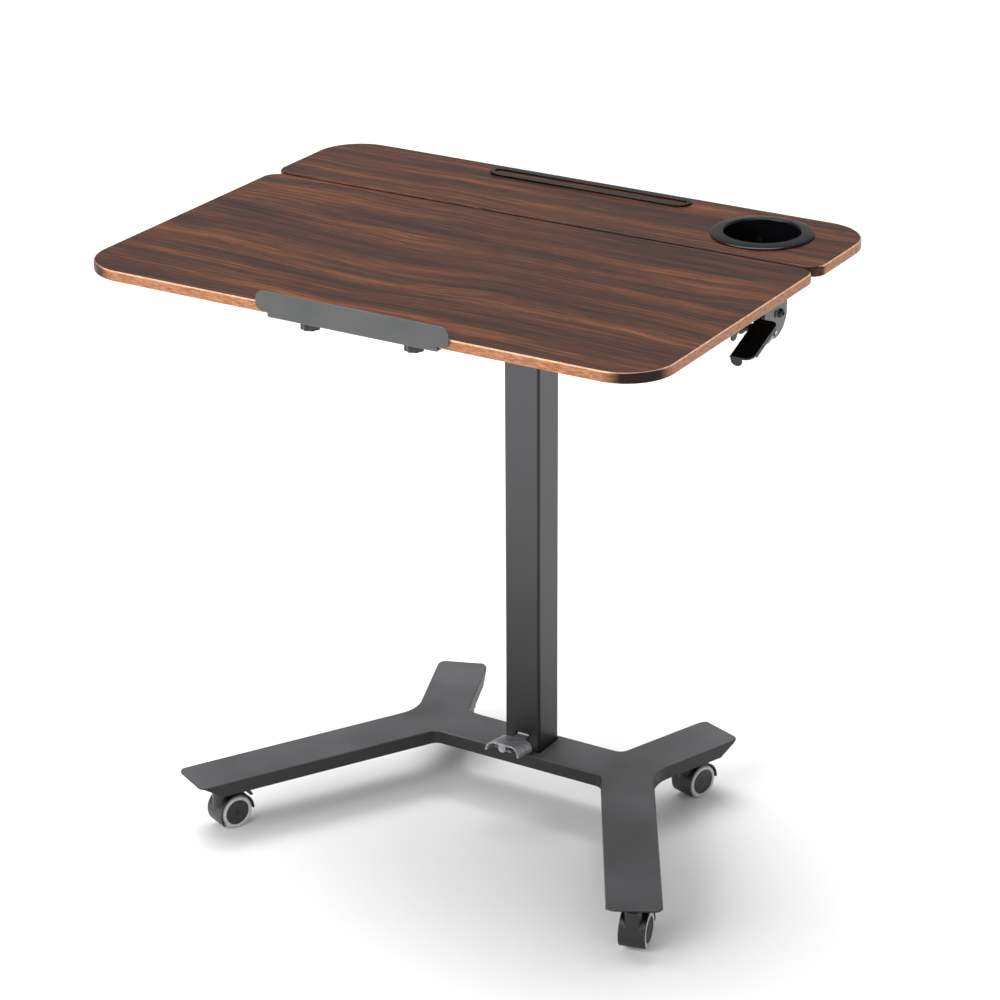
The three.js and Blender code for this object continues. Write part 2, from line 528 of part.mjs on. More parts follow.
// ---- boards ----
// A board with every long edge eased: the outline is drawn at its widest, and the bevel eats into it.
function board(y0, y1, frontRadius, rearRadius) {
  const e = EASED_EDGE;
  const half = TOP_WIDTH / 2 - e;
  const outline = rounded([[-half, y0 + e, frontRadius - e], [half, y0 + e, frontRadius - e],
    [half, y1 - e, rearRadius - e], [-half, y1 - e, rearRadius - e]], 8);
  return new THREE.ExtrudeGeometry(outline, { depth: BOARD - 2 * e, bevelThickness: e, bevelSize: e,
    bevelSegments: 3, curveSegments: 8 }).translate(0, 0, UNDERSIDE + e);
}
const slotBody = [SLOT_LENGTH - 8, SLOT_OPENING + 2 * SLOT_WALL];
function rearShelf() {
  const cupHole = rodZ(CUP_RADIUS + CUP_WALL + GAP, UNDERSIDE - 1, SURFACE_HEIGHT + 1, 48).translate(CUP_X, CUP_Y, 0);
  const slotHole = upZ(capsule(slotBody[0] + 2 * GAP, slotBody[1] + 2 * GAP), SURFACE_HEIGHT - SLOT_DEPTH - GAP,
    SURFACE_HEIGHT + 1).translate(0, SLOT_Y, 0);
  return cut(board(SHELF_FRONT, SHELF_REAR, INNER_CORNER, OUTER_CORNER), cupHole, slotHole);
}
piece('rear_shelf', rearShelf(), walnut, lift);

const deck = SURFACE_HEIGHT + GAP;
const cupFloor = SURFACE_HEIGHT - CUP_DEPTH;
const cupOut = CUP_RADIUS + CUP_WALL;
piece('cup_holder', lathe([[CUP_DRAIN, cupFloor - CUP_WALL], [cupOut - 4, cupFloor - CUP_WALL], [cupOut, cupFloor + 2],
  [cupOut, deck], [CUP_FLANGE, deck], [CUP_FLANGE - 0.6, deck + 1.2], [CUP_FLANGE - 6, deck + CUP_RISE - 0.8],
  [CUP_RADIUS + 8, deck + CUP_RISE], [CUP_RADIUS + 2.5, deck + CUP_RISE - 0.8], [CUP_RADIUS, deck + 1],
  [CUP_RADIUS, cupFloor + 3], [CUP_RADIUS - 3, cupFloor], [CUP_DRAIN, cupFloor],
  [CUP_DRAIN, cupFloor - CUP_WALL]], 48), blackPlastic, lift).position.set(CUP_X, CUP_Y, 0);

function slotLiner() {
  const rim = upZ(capsule(SLOT_LENGTH, SLOT_WIDTH), deck, deck + SLOT_RIM);
  const body = upZ(capsule(...slotBody), SURFACE_HEIGHT - SLOT_DEPTH, deck + 0.5);
  const opening = upZ(capsule(SLOT_LENGTH - 8 - 2 * SLOT_WALL, SLOT_OPENING), SURFACE_HEIGHT - SLOT_DEPTH + SLOT_WALL,
    deck + SLOT_RIM + 1);
  return cut(join(rim, body), opening);
}
piece('slot_liner', slotLiner(), blackPlastic, lift).position.y = SLOT_Y;

// ---- tilting top ----
const top = group(desk);
const knobX = [STOP_X - KNOB_SPACING / 2, STOP_X + KNOB_SPACING / 2];
const knobY = -MAIN_FRONT + KNOB_Y;
const studHoles = knobX.map((x) => rodZ(STUD_RADIUS + GAP, UNDERSIDE - 1, UNDERSIDE + STUD_DEPTH + GAP)
  .translate(x, knobY, 0));
piece('main_top', cut(board(-MAIN_FRONT, MAIN_REAR, OUTER_CORNER, INNER_CORNER), ...studHoles), walnut, top);

const paddleZ = UNDERSIDE - PADDLE_DROP;
const armTop = UNDERSIDE - GAP;
const armRear = PIVOT_Y + ARM_EAR;
function tiltArm(side) {
  const flange = rounded([[armRear - ARM_LENGTH, armTop], [armRear - ARM_LENGTH, armTop - ARM_DEPTH, 8],
    [PIVOT_Y - ARM_EAR - 10, armTop - ARM_DEPTH, 6], [PIVOT_Y - ARM_EAR, PIVOT_Z - ARM_EAR, ARM_EAR - 0.1],
    [armRear, PIVOT_Z - ARM_EAR, ARM_EAR - 0.1], [armRear, armTop]]);
  const [x0, x1] = side > 0 ? [ARM_OUT - ARM_SHEET, ARM_OUT] : [-ARM_OUT, -ARM_OUT + ARM_SHEET];
  const [f0, f1] = side > 0 ? [ARM_OUT - ARM_FLANGE, ARM_OUT] : [-ARM_OUT, -ARM_OUT + ARM_FLANGE];
  const angle = join(alongX(flange, x0, x1),
    upZ(rectangle(f0, armRear - ARM_LENGTH, f1, armRear, 0), armTop - ARM_SHEET, armTop));
  return cut(angle, rodX(TILT_PIN_RADIUS + GAP, x0 - 1, x1 + 1).translate(0, PIVOT_Y, PIVOT_Z));
}
piece('tilt_arm_left', tiltArm(-1), charcoal, top);
piece('tilt_arm_right', tiltArm(1), charcoal, top);

// ---- paddle, on a bracket beside the right arm ----
const bracketIn = ARM_OUT + GAP;
const bracketOut = bracketIn + BRACKET_SHEET;
function paddleBracket() {
  const cheek = rounded([[PADDLE_Y - 34, armTop], [PADDLE_Y - 34, armTop - 12, 4], [PADDLE_Y - 29, paddleZ - 10, 4.5],
    [PADDLE_Y - 19, paddleZ - 10, 4.5], [PADDLE_Y - 12, paddleZ + 6, 5], [PADDLE_Y - 8, paddleZ - 8, 5],
    [PADDLE_Y + 8, paddleZ - 8, 6], [PADDLE_Y + 12, armTop - 10, 4], [PADDLE_Y + 12, armTop]]);
  const flange = upZ(rectangle(bracketIn, PADDLE_Y - 34, bracketIn + 24, PADDLE_Y + 12, 0), armTop - BRACKET_SHEET,
    armTop);
  return cut(join(alongX(cheek, bracketIn, bracketOut), flange),
    rodX(PADDLE_PIN_RADIUS + GAP, bracketIn - 1, bracketOut + 1).translate(0, PADDLE_Y, paddleZ));
}
piece('paddle_bracket', paddleBracket(), blackPlastic, top);
const hubIn = bracketOut + SLIDE;
const hubOut = PADDLE_IN + PADDLE_WIDTH - 4;
const headedPin = lathe([[0, bracketIn - 3], [5, bracketIn - 3], [5, bracketIn - GAP],
  [PADDLE_PIN_RADIUS, bracketIn - GAP], [PADDLE_PIN_RADIUS, hubOut + 1.5], [0, hubOut + 1.5]],
SMALL_ROUND).rotateY(Math.PI / 2);
piece('paddle_pin', headedPin, zinc, top).position.set(0, PADDLE_Y, paddleZ);

// The paddle's own frame is its pin, sloped down to the front.
const paddle = group(desk, 0, PADDLE_Y, paddleZ);
paddle.rotation.x = radians(PADDLE_SLOPE);
function paddleLever() {
  const [x0, x1] = [PADDLE_IN, PADDLE_IN + PADDLE_WIDTH];
  const rear = 4;
  const front = rear - PADDLE_LENGTH;
  const under = PADDLE_RISE - PADDLE_SHEET;
  const plate = upZ(rounded([[x0, front, 1], [x1, front, 11], [x1, rear, 7], [x0, rear, 2]]), under, PADDLE_RISE);
  const tab = alongY(rounded([[x0, PADDLE_RISE - 1, 0], [x0, under - PADDLE_TAB, PADDLE_TAB_WIDTH / 2 - 0.1],
    [x0 + PADDLE_TAB_WIDTH, under - PADDLE_TAB, PADDLE_TAB_WIDTH / 2 - 0.1], [x0 + PADDLE_TAB_WIDTH, PADDLE_RISE - 1]]),
  front, front + PADDLE_SHEET);
  const flange = alongX(rectangle(front + 12, under - 3.5, rear - 8, PADDLE_RISE - 1), x1 - 2, x1);
  const hub = rodX(PADDLE_HUB_RADIUS, hubIn, hubOut, ROUND);
  const web = alongX(rectangle(-5, 0, 3, under + 1), PADDLE_IN + 2, hubOut);
  return cut(join(plate, tab, flange, hub, web), rodX(PADDLE_PIN_RADIUS + GAP, hubIn - 1, hubOut + 1));
}
piece('paddle_lever', paddleLever(), blackPlastic, paddle);

// The shoe is clamped under the hub and bears on the quadrant's rim. It is drawn level, about the tilt axis.
function brakeShoe() {
  const [dy, dz] = [PIVOT_Y - PADDLE_Y, PIVOT_Z - paddleZ];
  const near = QUADRANT_RADIUS + GAP + 0.1;
  const at = (degrees, r) => new THREE.Vector2(r * Math.cos(radians(degrees)) + dy, r * Math.sin(radians(degrees)) + dz);
  const shoe = new THREE.Shape([at(SHOE_ANGLE - 6, near), at(SHOE_ANGLE, near), at(SHOE_ANGLE + 6, near),
    at(SHOE_ANGLE + 9, near + 4), at(SHOE_ANGLE + 5, near + 11), at(SHOE_ANGLE - 3, near + 11),
    at(SHOE_ANGLE - 8, near + 5)].reverse());
  return cut(alongX(shoe, QUADRANT_IN, QUADRANT_IN + QUADRANT_SHEET),
    rodX(PADDLE_HUB_RADIUS + GAP, QUADRANT_IN - 1, hubOut + 1, ROUND)).rotateX(radians(-PADDLE_SLOPE));
}
piece('brake_shoe', brakeShoe(), zinc, paddle);
const barrel = lathe([[0, -12], [3.4, -12], [3.4, -9.4], [4.4, -9.4], [4.4, 0], [0, 0]], SMALL_ROUND);
const barrelMesh = piece('spring_barrel', barrel.rotateX(-Math.PI / 2), zinc, paddle);
barrelMesh.position.set(PADDLE_IN + PADDLE_WIDTH - 8, -PADDLE_HUB_RADIUS - GAP, -1.5);

// ---- front stop and its knobs ----
const stop = group(desk, STOP_X, -MAIN_FRONT, 0);
function stopBar() {
  const crest = SURFACE_HEIGHT + STOP_RISE;
  const waist = crest - STOP_UPPER;
  const under = UNDERSIDE - SLIDE;
  const [long, short] = [STOP_LENGTH / 2, STOP_LOWER_LENGTH / 2];
  const face = alongY(rounded([[-long, waist, 8], [-short, waist, 1.5], [-short, under - STOP_SHEET],
    [short, under - STOP_SHEET], [short, waist, 1.5], [long, waist, 8], [long, crest, 10], [-long, crest, 10]]),
  -SLIDE - STOP_SHEET, -SLIDE);
  const flange = upZ(rounded([[-short, -SLIDE - 1], [-short, STOP_FLANGE, 8], [short, STOP_FLANGE, 8],
    [short, -SLIDE - 1]].reverse()), under - STOP_SHEET, under);
  const slots = [-1, 1].map((s) => upZ(rectangle(-STUD_RADIUS - SLIDE, KNOB_Y - STUD_RADIUS - SLIDE,
    STUD_RADIUS + SLIDE, KNOB_Y + STUD_RADIUS + SLIDE + STOP_TRAVEL, STUD_RADIUS), under - 9, under + 1)
    .translate(s * KNOB_SPACING / 2, 0, 0));
  return cut(join(face, flange), ...slots);
}
piece('stop_bar', stopBar(), greyPaint, stop);

function knob() {
  const washer = UNDERSIDE - SLIDE - STOP_SHEET - SLIDE;
  const lobes = Array.from({ length: KNOB_FLUTES * 5 }, (_, k) => {
    const a = (k / (KNOB_FLUTES * 5)) * 2 * Math.PI;
    const r = KNOB_RADIUS - 0.9 + 0.9 * Math.cos(KNOB_FLUTES * a);
    return new THREE.Vector2(r * Math.cos(a), r * Math.sin(a));
  });
  const grip = upZ(new THREE.Shape(lobes), washer - KNOB_HEIGHT - 3, washer - 3);
  return join(grip, rodZ(7, washer - 4, washer), rodZ(STUD_RADIUS, washer - 1, UNDERSIDE + STUD_DEPTH));
}
knobX.forEach((x, i) => {
  piece(i ? 'knob_right' : 'knob_left', knob(), blackPlastic, desk).position.set(x, knobY, 0);
});

// ---- casters: each one's frame is its stem axis on the floor, trailing towards +X ----
const axleZ = WHEEL_RADIUS;
const wheelMiddle = CASTER_HALF_WIDTH - WHEEL_WIDTH / 2;
const hoodIn = WHEEL_RADIUS + 1;
const hoodOut = hoodIn + HOOD_WALL;
const hingeRadius = hoodOut + 4.4;
const HINGE_ANGLE = 74;
const LUG_RADIUS = 3.4;
const rim = (degrees, r) => new THREE.Vector2(CASTER_TRAIL + r * Math.cos(radians(degrees)),
  axleZ + r * Math.sin(radians(degrees)));
const arc = (from, to, r, steps) => Array.from({ length: steps + 1 }, (_, k) =>
  rim(from + ((to - from) * k) / steps, r));

function casterHood(brake) {
  const cover = alongY(new THREE.Shape(arc(0, 216, hoodOut, 18)), -CASTER_HALF_WIDTH, CASTER_HALF_WIDTH);
  const neck = rodZ(NECK_RADIUS, axleZ + 8, HOOD_TOP, 24);
  const parts = [neck];
  if (brake) {
    const lug = rim(HINGE_ANGLE, hingeRadius);
    for (const y of [-12, 10]) parts.push(rodY(LUG_RADIUS, y, y + 2).translate(lug.x, 0, lug.y),
      alongY(new THREE.Shape(arc(HINGE_ANGLE - 6, HINGE_ANGLE + 6, hingeRadius, 2)
        .concat(arc(HINGE_ANGLE + 7, HINGE_ANGLE - 7, hoodIn + 1, 2))), y, y + 2));
  }
  const wheelRoom = [WHEEL_ROOM, -WHEEL_ROOM - 20].map((y) => rodY(hoodIn, y, y + 20, 40)
    .translate(CASTER_TRAIL, 0, axleZ));
  const axleBore = rodY(WHEEL_AXLE_RADIUS + 0.1, -20, 20, 20).translate(CASTER_TRAIL, 0, axleZ);
  return cut(join(cover, ...parts), ...wheelRoom, axleBore,
    rodZ(STEM_RADIUS + GAP, HOOD_TOP - STEM_DEPTH - 2, HOOD_TOP + 1));
}

function wheel() {
  const half = WHEEL_WIDTH / 2;
  const boreRadius = WHEEL_AXLE_RADIUS + GAP;
  return lathe([[boreRadius, -half], [WHEEL_RADIUS - 1.8, -half], [WHEEL_RADIUS, -half + 2], [WHEEL_RADIUS, half - 3],
    [WHEEL_RADIUS - 3, half], [WHEEL_RADIUS - 6, half], [WHEEL_RADIUS - 7, half - 1.2], [boreRadius, half - 0.6],
    [boreRadius, -half]], 28).rotateX(-Math.PI / 2);
}

function brakeLever() {
  const inner = hoodOut + 2.9;
  const tab = alongY(new THREE.Shape(arc(24, HINGE_ANGLE, inner + 4, 6).concat(arc(HINGE_ANGLE, 26, inner, 6))), -8, 8);
  const at = rim(HINGE_ANGLE, hingeRadius);
  return join(tab, rodY(LUG_RADIUS, -9.4, 9.4).translate(at.x, 0, at.y));
}

for (const caster of CASTERS) {
  const [x, y] = stemPlace(caster.leg, caster.side);
  const swivel = group(desk, x, y, 0);
  swivel.rotation.z = radians(caster.turn);
  piece(`${caster.name}_stem`, rodZ(STEM_RADIUS, HOOD_TOP - STEM_DEPTH, stemTop), zinc, swivel);
  piece(`${caster.name}_hood`, casterHood(caster.brake), hoodPlastic, swivel);
  piece(`${caster.name}_axle`, rodY(WHEEL_AXLE_RADIUS, -CASTER_HALF_WIDTH + 1, CASTER_HALF_WIDTH - 1), zinc, swivel)
    .position.set(CASTER_TRAIL, 0, axleZ);
  for (const [side, word] of [[-1, 'a'], [1, 'b']]) {
    const turned = piece(`${caster.name}_wheel_${word}`, wheel(), tyreGrey, swivel);
    turned.position.set(CASTER_TRAIL, side * wheelMiddle, axleZ);
    if (side < 0) turned.rotation.x = Math.PI;
  }
  if (caster.brake) piece(`${caster.name}_brake`, brakeLever(), blackPlastic, swivel);
}

export default desk;
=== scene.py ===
# A rolling laptop desk: a walnut top that tilts and a fixed rear shelf on a telescopic steel column, which
# a foot pedal unlocks, over a four-armed base on twin-wheel casters. Lengths are millimetres until a mesh
# is placed; the frame and everything placed in it are metres.
import json
import math

import bmesh
import bpy
from mathutils import Matrix, Vector

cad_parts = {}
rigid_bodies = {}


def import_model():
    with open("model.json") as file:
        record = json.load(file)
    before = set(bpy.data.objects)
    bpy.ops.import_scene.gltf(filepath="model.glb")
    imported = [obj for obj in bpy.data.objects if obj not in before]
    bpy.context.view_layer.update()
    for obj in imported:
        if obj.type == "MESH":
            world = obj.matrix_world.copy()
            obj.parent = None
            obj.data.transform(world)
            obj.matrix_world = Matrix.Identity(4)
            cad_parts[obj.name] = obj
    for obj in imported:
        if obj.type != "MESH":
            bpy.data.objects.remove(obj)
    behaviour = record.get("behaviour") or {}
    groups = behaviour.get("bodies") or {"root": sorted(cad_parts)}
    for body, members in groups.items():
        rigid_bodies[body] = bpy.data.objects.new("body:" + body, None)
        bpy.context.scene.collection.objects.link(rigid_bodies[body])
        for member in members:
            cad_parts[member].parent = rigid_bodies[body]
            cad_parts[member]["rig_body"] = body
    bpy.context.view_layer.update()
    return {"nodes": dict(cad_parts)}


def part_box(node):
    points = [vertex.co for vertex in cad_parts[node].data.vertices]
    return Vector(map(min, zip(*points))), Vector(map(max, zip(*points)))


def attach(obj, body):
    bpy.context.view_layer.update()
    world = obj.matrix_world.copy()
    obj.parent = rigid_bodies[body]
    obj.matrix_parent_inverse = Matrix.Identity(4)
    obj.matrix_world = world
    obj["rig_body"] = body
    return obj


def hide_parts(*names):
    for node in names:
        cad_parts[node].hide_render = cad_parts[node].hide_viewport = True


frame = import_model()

# ---- studio: a pale seamless floor, soft light from above and in front, and the camera ----
# The camera stands to the right of the desk and looks down on it through a long lens.
MM = 0.001
ORIGIN_TO_COLUMN = (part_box("column_tube")[0].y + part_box("column_tube")[1].y) / 2 / MM
scene = bpy.context.scene
scene.view_settings.view_transform = "Standard"


def linear(hex_colour):
    """An sRGB hex colour as the linear one, with alpha, that a node takes."""
    channels = [int(hex_colour[i:i + 2], 16) / 255 for i in (0, 2, 4)]
    return (*[c / 12.92 if c <= 0.04045 else ((c + 0.055) / 1.055) ** 2.4 for c in channels], 1.0)


def add_node(tree, kind, inputs=None, stops=None, **settings):
    """Adds a node. Inputs are values or the sockets that feed it, and stops are a ramp's (spot, hex)."""
    made = tree.nodes.new(kind)
    for key, value in settings.items():
        setattr(made, key, value)
    for key, value in (inputs or {}).items():
        if isinstance(value, bpy.types.NodeSocket):
            tree.links.new(value, made.inputs[key])
        else:
            made.inputs[key].default_value = value
    for i, (spot, colour) in enumerate(stops or []):
        element = made.color_ramp.elements[i] if i < 2 else made.color_ramp.elements.new(spot)
        element.position = spot
        element.color = linear(colour)
    return made


def new_material(name, **sockets):
    """A material with one Principled shader, its even values set on the shader's own sockets."""
    material = bpy.data.materials.new(name)
    material.use_nodes = True
    tree = material.node_tree
    tree.nodes.clear()
    shader = add_node(tree, "ShaderNodeBsdfPrincipled", sockets)
    add_node(tree, "ShaderNodeOutputMaterial", {"Surface": shader.outputs["BSDF"]})
    return material, tree, shader


CAMERA_AT = (1.84074, -3.02721, 1.97874)
CAMERA_HEADING = 30.945       # degrees, as are the next two
CAMERA_DOWN = 23.215
CAMERA_ROLL = -0.306
FOCAL_LENGTH = 114.646
SENSOR_WIDTH = 36
FAR_END = 60
camera = bpy.data.objects.new("camera", bpy.data.cameras.new("camera"))
camera.data.lens = FOCAL_LENGTH
camera.data.sensor_width = SENSOR_WIDTH
camera.data.clip_end = FAR_END
camera.matrix_world = (Matrix.Translation(CAMERA_AT)
                       @ Matrix.Rotation(math.radians(CAMERA_HEADING), 4, "Z")
                       @ Matrix.Rotation(math.radians(90 - CAMERA_DOWN), 4, "X")
                       @ Matrix.Rotation(math.radians(CAMERA_ROLL), 4, "Z"))
scene.collection.objects.link(camera)
scene.camera = camera

FLOOR_HALF = 30
floor_mesh = bpy.data.meshes.new("studio_floor")
floor_mesh.from_pydata([(x, y, 0) for x, y in ((-1, -1), (1, -1), (1, 1), (-1, 1))], [], [(0, 1, 2, 3)])
floor_mesh.transform(Matrix.Scale(FLOOR_HALF, 4))
floor = bpy.data.objects.new("studio_floor", floor_mesh)
scene.collection.objects.link(floor)
floor_paint, _, _ = new_material("matt_studio_paint", **{"Base Color": linear("f4f4f4"), "Roughness": 0.9})
floor_mesh.materials.append(floor_paint)

LIGHTS = {
    "key": {"at": (-0.9, -3.0, 2.3), "size": 2.2, "power": 72},
    "fill": {"at": (3.2, -1.6, 2.0), "size": 2.0, "power": 8},
    "overhead": {"at": (-0.3, 0.4, 3.6), "size": 2.6, "power": 52},
}
AIM = Vector((0, 0, 0.55))
for name, light in LIGHTS.items():
    lamp = bpy.data.objects.new(name, bpy.data.lights.new(name, "AREA"))
    lamp.data.shape = "SQUARE"
    lamp.data.size = light["size"]
    lamp.data.energy = light["power"]
    lamp.location = light["at"]
    lamp.rotation_mode = "QUATERNION"
    lamp.rotation_quaternion = (AIM - Vector(light["at"])).to_track_quat("-Z", "Y")
    scene.collection.objects.link(lamp)

SUN_POWER = 2.2
SUN_SPREAD = 50               # degrees, as are the sun's two tilts
SUN_TILT = (-4, -14)
sun = bpy.data.objects.new("sun", bpy.data.lights.new("sun", "SUN"))
sun.data.energy = SUN_POWER
sun.data.angle = math.radians(SUN_SPREAD)
sun.rotation_euler = (math.radians(SUN_TILT[0]), math.radians(SUN_TILT[1]), 0)
scene.collection.objects.link(sun)

SKY_AS_LIGHT = 0.42
SKY_AS_SEEN = 1.0
world = bpy.data.worlds.new("pale_room")
world.use_nodes = True
sky = world.node_tree.nodes["Background"]
sky.inputs["Color"].default_value = linear("ffffff")
seen = add_node(world.node_tree, "ShaderNodeLightPath")
strength = add_node(world.node_tree, "ShaderNodeMapRange", {"Value": seen.outputs["Is Camera Ray"],
                                                            "To Min": SKY_AS_LIGHT, "To Max": SKY_AS_SEEN})
world.node_tree.links.new(strength.outputs["Result"], sky.inputs["Strength"])
scene.world = world


# ---- base: four arms in one folded steel shell, powder coated ----
# The rim is folded down all round, and the skirt's ends are bevelled. A plate under the crossbar carries the
# column on two hexagon bolts.
POWDER_GRAIN = 0.55           # the fine orange peel of a baked powder coat
FOLD_RADIUS = 2.2
SHEET_EDGE = 0.45


def powder_coat(name, shade, glint, roughness, shaded_side_share=1.0):
    """Powder baked on steel, dull and finely pebbled. Upright faces keep only a share of the colour, as
    painted shade.
    """
    material, tree, shader = new_material(name, **{"IOR": 1.5, "Metallic": 0.0})
    coordinates = add_node(tree, "ShaderNodeTexCoord")
    spot = coordinates.outputs["Object"]
    upward = add_node(tree, "ShaderNodeSeparateXYZ", {"Vector": coordinates.outputs["Normal"]}).outputs[2]
    # Painted shade: the less a face points up, the darker its colour is drawn.
    side_shade = add_node(tree, "ShaderNodeMapRange", {"Value": upward, "From Min": 0.2, "From Max": 0.95,
                                                  "To Min": shaded_side_share, "To Max": 1.0})
    grain = add_node(tree, "ShaderNodeTexNoise", {"Vector": spot, "Scale": 1 / (POWDER_GRAIN * MM),
                                                  "Detail": 2.0, "Roughness": 0.6})
    cloud = add_node(tree, "ShaderNodeTexNoise", {"Vector": spot, "Scale": 1 / (90 * MM), "Detail": 2.0})
    mixed = add_node(tree, "ShaderNodeMath", {0: grain.outputs["Fac"], 1: cloud.outputs["Fac"]},
                     operation="MULTIPLY")
    tint = add_node(tree, "ShaderNodeValToRGB", {"Fac": mixed.outputs[0]},
                    stops=[(0.08, shade), (0.42, glint)])
    gloss = add_node(tree, "ShaderNodeMapRange", {"Value": cloud.outputs["Fac"], "To Min": roughness - 0.05,
                                                  "To Max": roughness + 0.07})
    skin = add_node(tree, "ShaderNodeBump", {"Height": grain.outputs["Fac"], "Strength": 0.16,
                                             "Distance": 0.1 * MM})
    coat = add_node(tree, "ShaderNodeMix", {"Factor": 1.0, "A": tint.outputs["Color"],
                                            "B": side_shade.outputs["Result"]},
                    data_type="RGBA", blend_type="MULTIPLY")
    tree.links.new(coat.outputs["Result"], shader.inputs["Base Color"])
    tree.links.new(gloss.outputs["Result"], shader.inputs["Roughness"])
    tree.links.new(skin.outputs["Normal"], shader.inputs["Normal"])
    return material


def plated_steel(name, shade, glint, roughness, grain):
    """Drawn or turned steel under bright zinc: fine lines that stretch the highlight across them."""
    material, tree, shader = new_material(name, **{"Metallic": 1.0})
    spot = add_node(tree, "ShaderNodeTexCoord").outputs["Object"]
    drawn = add_node(tree, "ShaderNodeMapping", {"Vector": spot, "Scale": grain})
    lines = add_node(tree, "ShaderNodeTexNoise",
                     {"Vector": drawn.outputs["Vector"], "Scale": 1.0, "Detail": 3.0})
    spangle = add_node(tree, "ShaderNodeTexNoise", {"Vector": spot, "Scale": 1 / (14 * MM), "Detail": 1.0})
    tint = add_node(tree, "ShaderNodeValToRGB", {"Fac": spangle.outputs["Fac"]},
                    stops=[(0.3, shade), (0.7, glint)])
    gloss = add_node(tree, "ShaderNodeMapRange", {"Value": lines.outputs["Fac"], "To Min": roughness - 0.08,
                                                  "To Max": roughness + 0.1})
    skin = add_node(tree, "ShaderNodeBump", {"Height": lines.outputs["Fac"], "Strength": 0.12,
                                             "Distance": 0.06 * MM})
    tree.links.new(tint.outputs["Color"], shader.inputs["Base Color"])
    tree.links.new(gloss.outputs["Result"], shader.inputs["Roughness"])
    tree.links.new(skin.outputs["Normal"], shader.inputs["Normal"])
    return material


def trued(node, most=4):
    """A copy of a CAD node in millimetres, its triangles merged to flat faces with at most so many corners."""
    made = bmesh.new()
    made.from_mesh(frame["nodes"][node].data)
    made.transform(Matrix.Scale(1 / MM, 4))
    bmesh.ops.remove_doubles(made, verts=made.verts, dist=0.002)
    bmesh.ops.dissolve_limit(made, angle_limit=math.radians(0.4), verts=made.verts, edges=made.edges)
    bmesh.ops.triangulate(made, faces=[face for face in made.faces if len(face.verts) > most])
    mesh = bpy.data.meshes.new(node)
    made.to_mesh(mesh)
    made.free()
    return mesh


def worked(mesh, *modifiers):
    """The mesh after modifiers, each a (kind, settings) pair, as a plain mesh."""
    stock = bpy.data.objects.new("stock", mesh)
    scene.collection.objects.link(stock)
    for kind, settings in modifiers:
        modifier = stock.modifiers.new(kind.lower(), kind)
        for key, value in settings.items():
            setattr(modifier, key, value)
    made = bpy.data.meshes.new_from_object(stock.evaluated_get(bpy.context.evaluated_depsgraph_get()))
    bpy.data.objects.remove(stock)
    return made


def eased(mesh, width, segments=2, angle=30):
    """The mesh with every edge sharper than the angle rounded over, and the flats shaded flat."""
    for polygon in mesh.polygons:
        polygon.use_smooth = True
    bevel = {"width": width, "segments": segments, "limit_method": "ANGLE",
             "angle_limit": math.radians(angle),
             "use_clamp_overlap": False, "miter_outer": "MITER_ARC", "loop_slide": True}
    return worked(mesh, ("BEVEL", bevel), ("WEIGHTED_NORMAL", {"weight": 100, "keep_sharp": True}))


def folded(mesh, width, segments, along):
    """The mesh with only the edges that along(edge's two ends) picks rounded to a fold."""
    made = bmesh.new()
    made.from_mesh(mesh)
    layer = made.edges.layers.float.new("bevel_weight_edge")
    for edge in made.edges:
        sharp = edge.is_manifold and edge.calc_face_angle() > math.radians(45)
        edge[layer] = 1.0 if sharp and along(*[v.co for v in edge.verts]) else 0.0
    made.to_mesh(mesh)
    made.free()
    bevel = {"width": width, "segments": segments, "limit_method": "WEIGHT", "use_clamp_overlap": False}
    made = worked(mesh, ("BEVEL", bevel))
    made.attributes.remove(made.attributes["bevel_weight_edge"])
    return made


def place(mesh, name, material, *nodes, at=None):
    """Puts a mesh in the frame as a named piece that stands for nodes, on the first one's body, in the given
    material unless it has one.
    """
    if at is not None:
        mesh.transform(at)
    mesh.transform(Matrix.Scale(MM, 4))
    mesh.name = name
    if not mesh.materials:
        mesh.materials.append(material)
    made = bpy.data.objects.new(name, mesh)
    scene.collection.objects.link(made)
    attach(made, frame["nodes"][nodes[0]]["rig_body"])
    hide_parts(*nodes)
    return made


base_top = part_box("base_shell")[1].z / MM
# The charcoal's upright faces, the base's skirts among them, keep a tenth of the colour: painted shade.
charcoal = powder_coat("charcoal_powder_coat", "3c3c3e", "5e5e61", 0.44, 0.1)
zinc = plated_steel("zinc_plated_steel", "8f9296", "c4c7ca", 0.34,
                    (1 / (0.3 * MM), 1 / (0.3 * MM), 1 / (6 * MM)))
tray = folded(trued("base_shell"), FOLD_RADIUS, 4, lambda a, b: min(a.z, b.z) > base_top - 0.05)
place(eased(tray, SHEET_EDGE), "base_tray", charcoal, "base_shell")
place(eased(trued("column_foot"), SHEET_EDGE), "foot_plate", charcoal, "column_foot")
for node in ("foot_bolt_1", "foot_bolt_2"):
    place(eased(trued(node), 0.3), node.replace("foot_", "column_"), zinc, node)


# ---- column: two square steel tubes, one sliding in the other, coated like the base ----
# The outer tube stands on the foot plate and ends in a black plastic guide collar. The inner one carries a
# head plate above and a plastic glide below, so the two never rub steel on steel.
TUBE_EDGE = 0.35
CORNER_SHADE_BAND = 3.2             # how far round each corner the near-black painted shade reaches
COLUMN_HALF = (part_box("column_tube")[1].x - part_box("column_tube")[0].x) / 2 / MM
COLUMN_LOW, COLUMN_HIGH = [corner.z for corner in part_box("column_tube")]


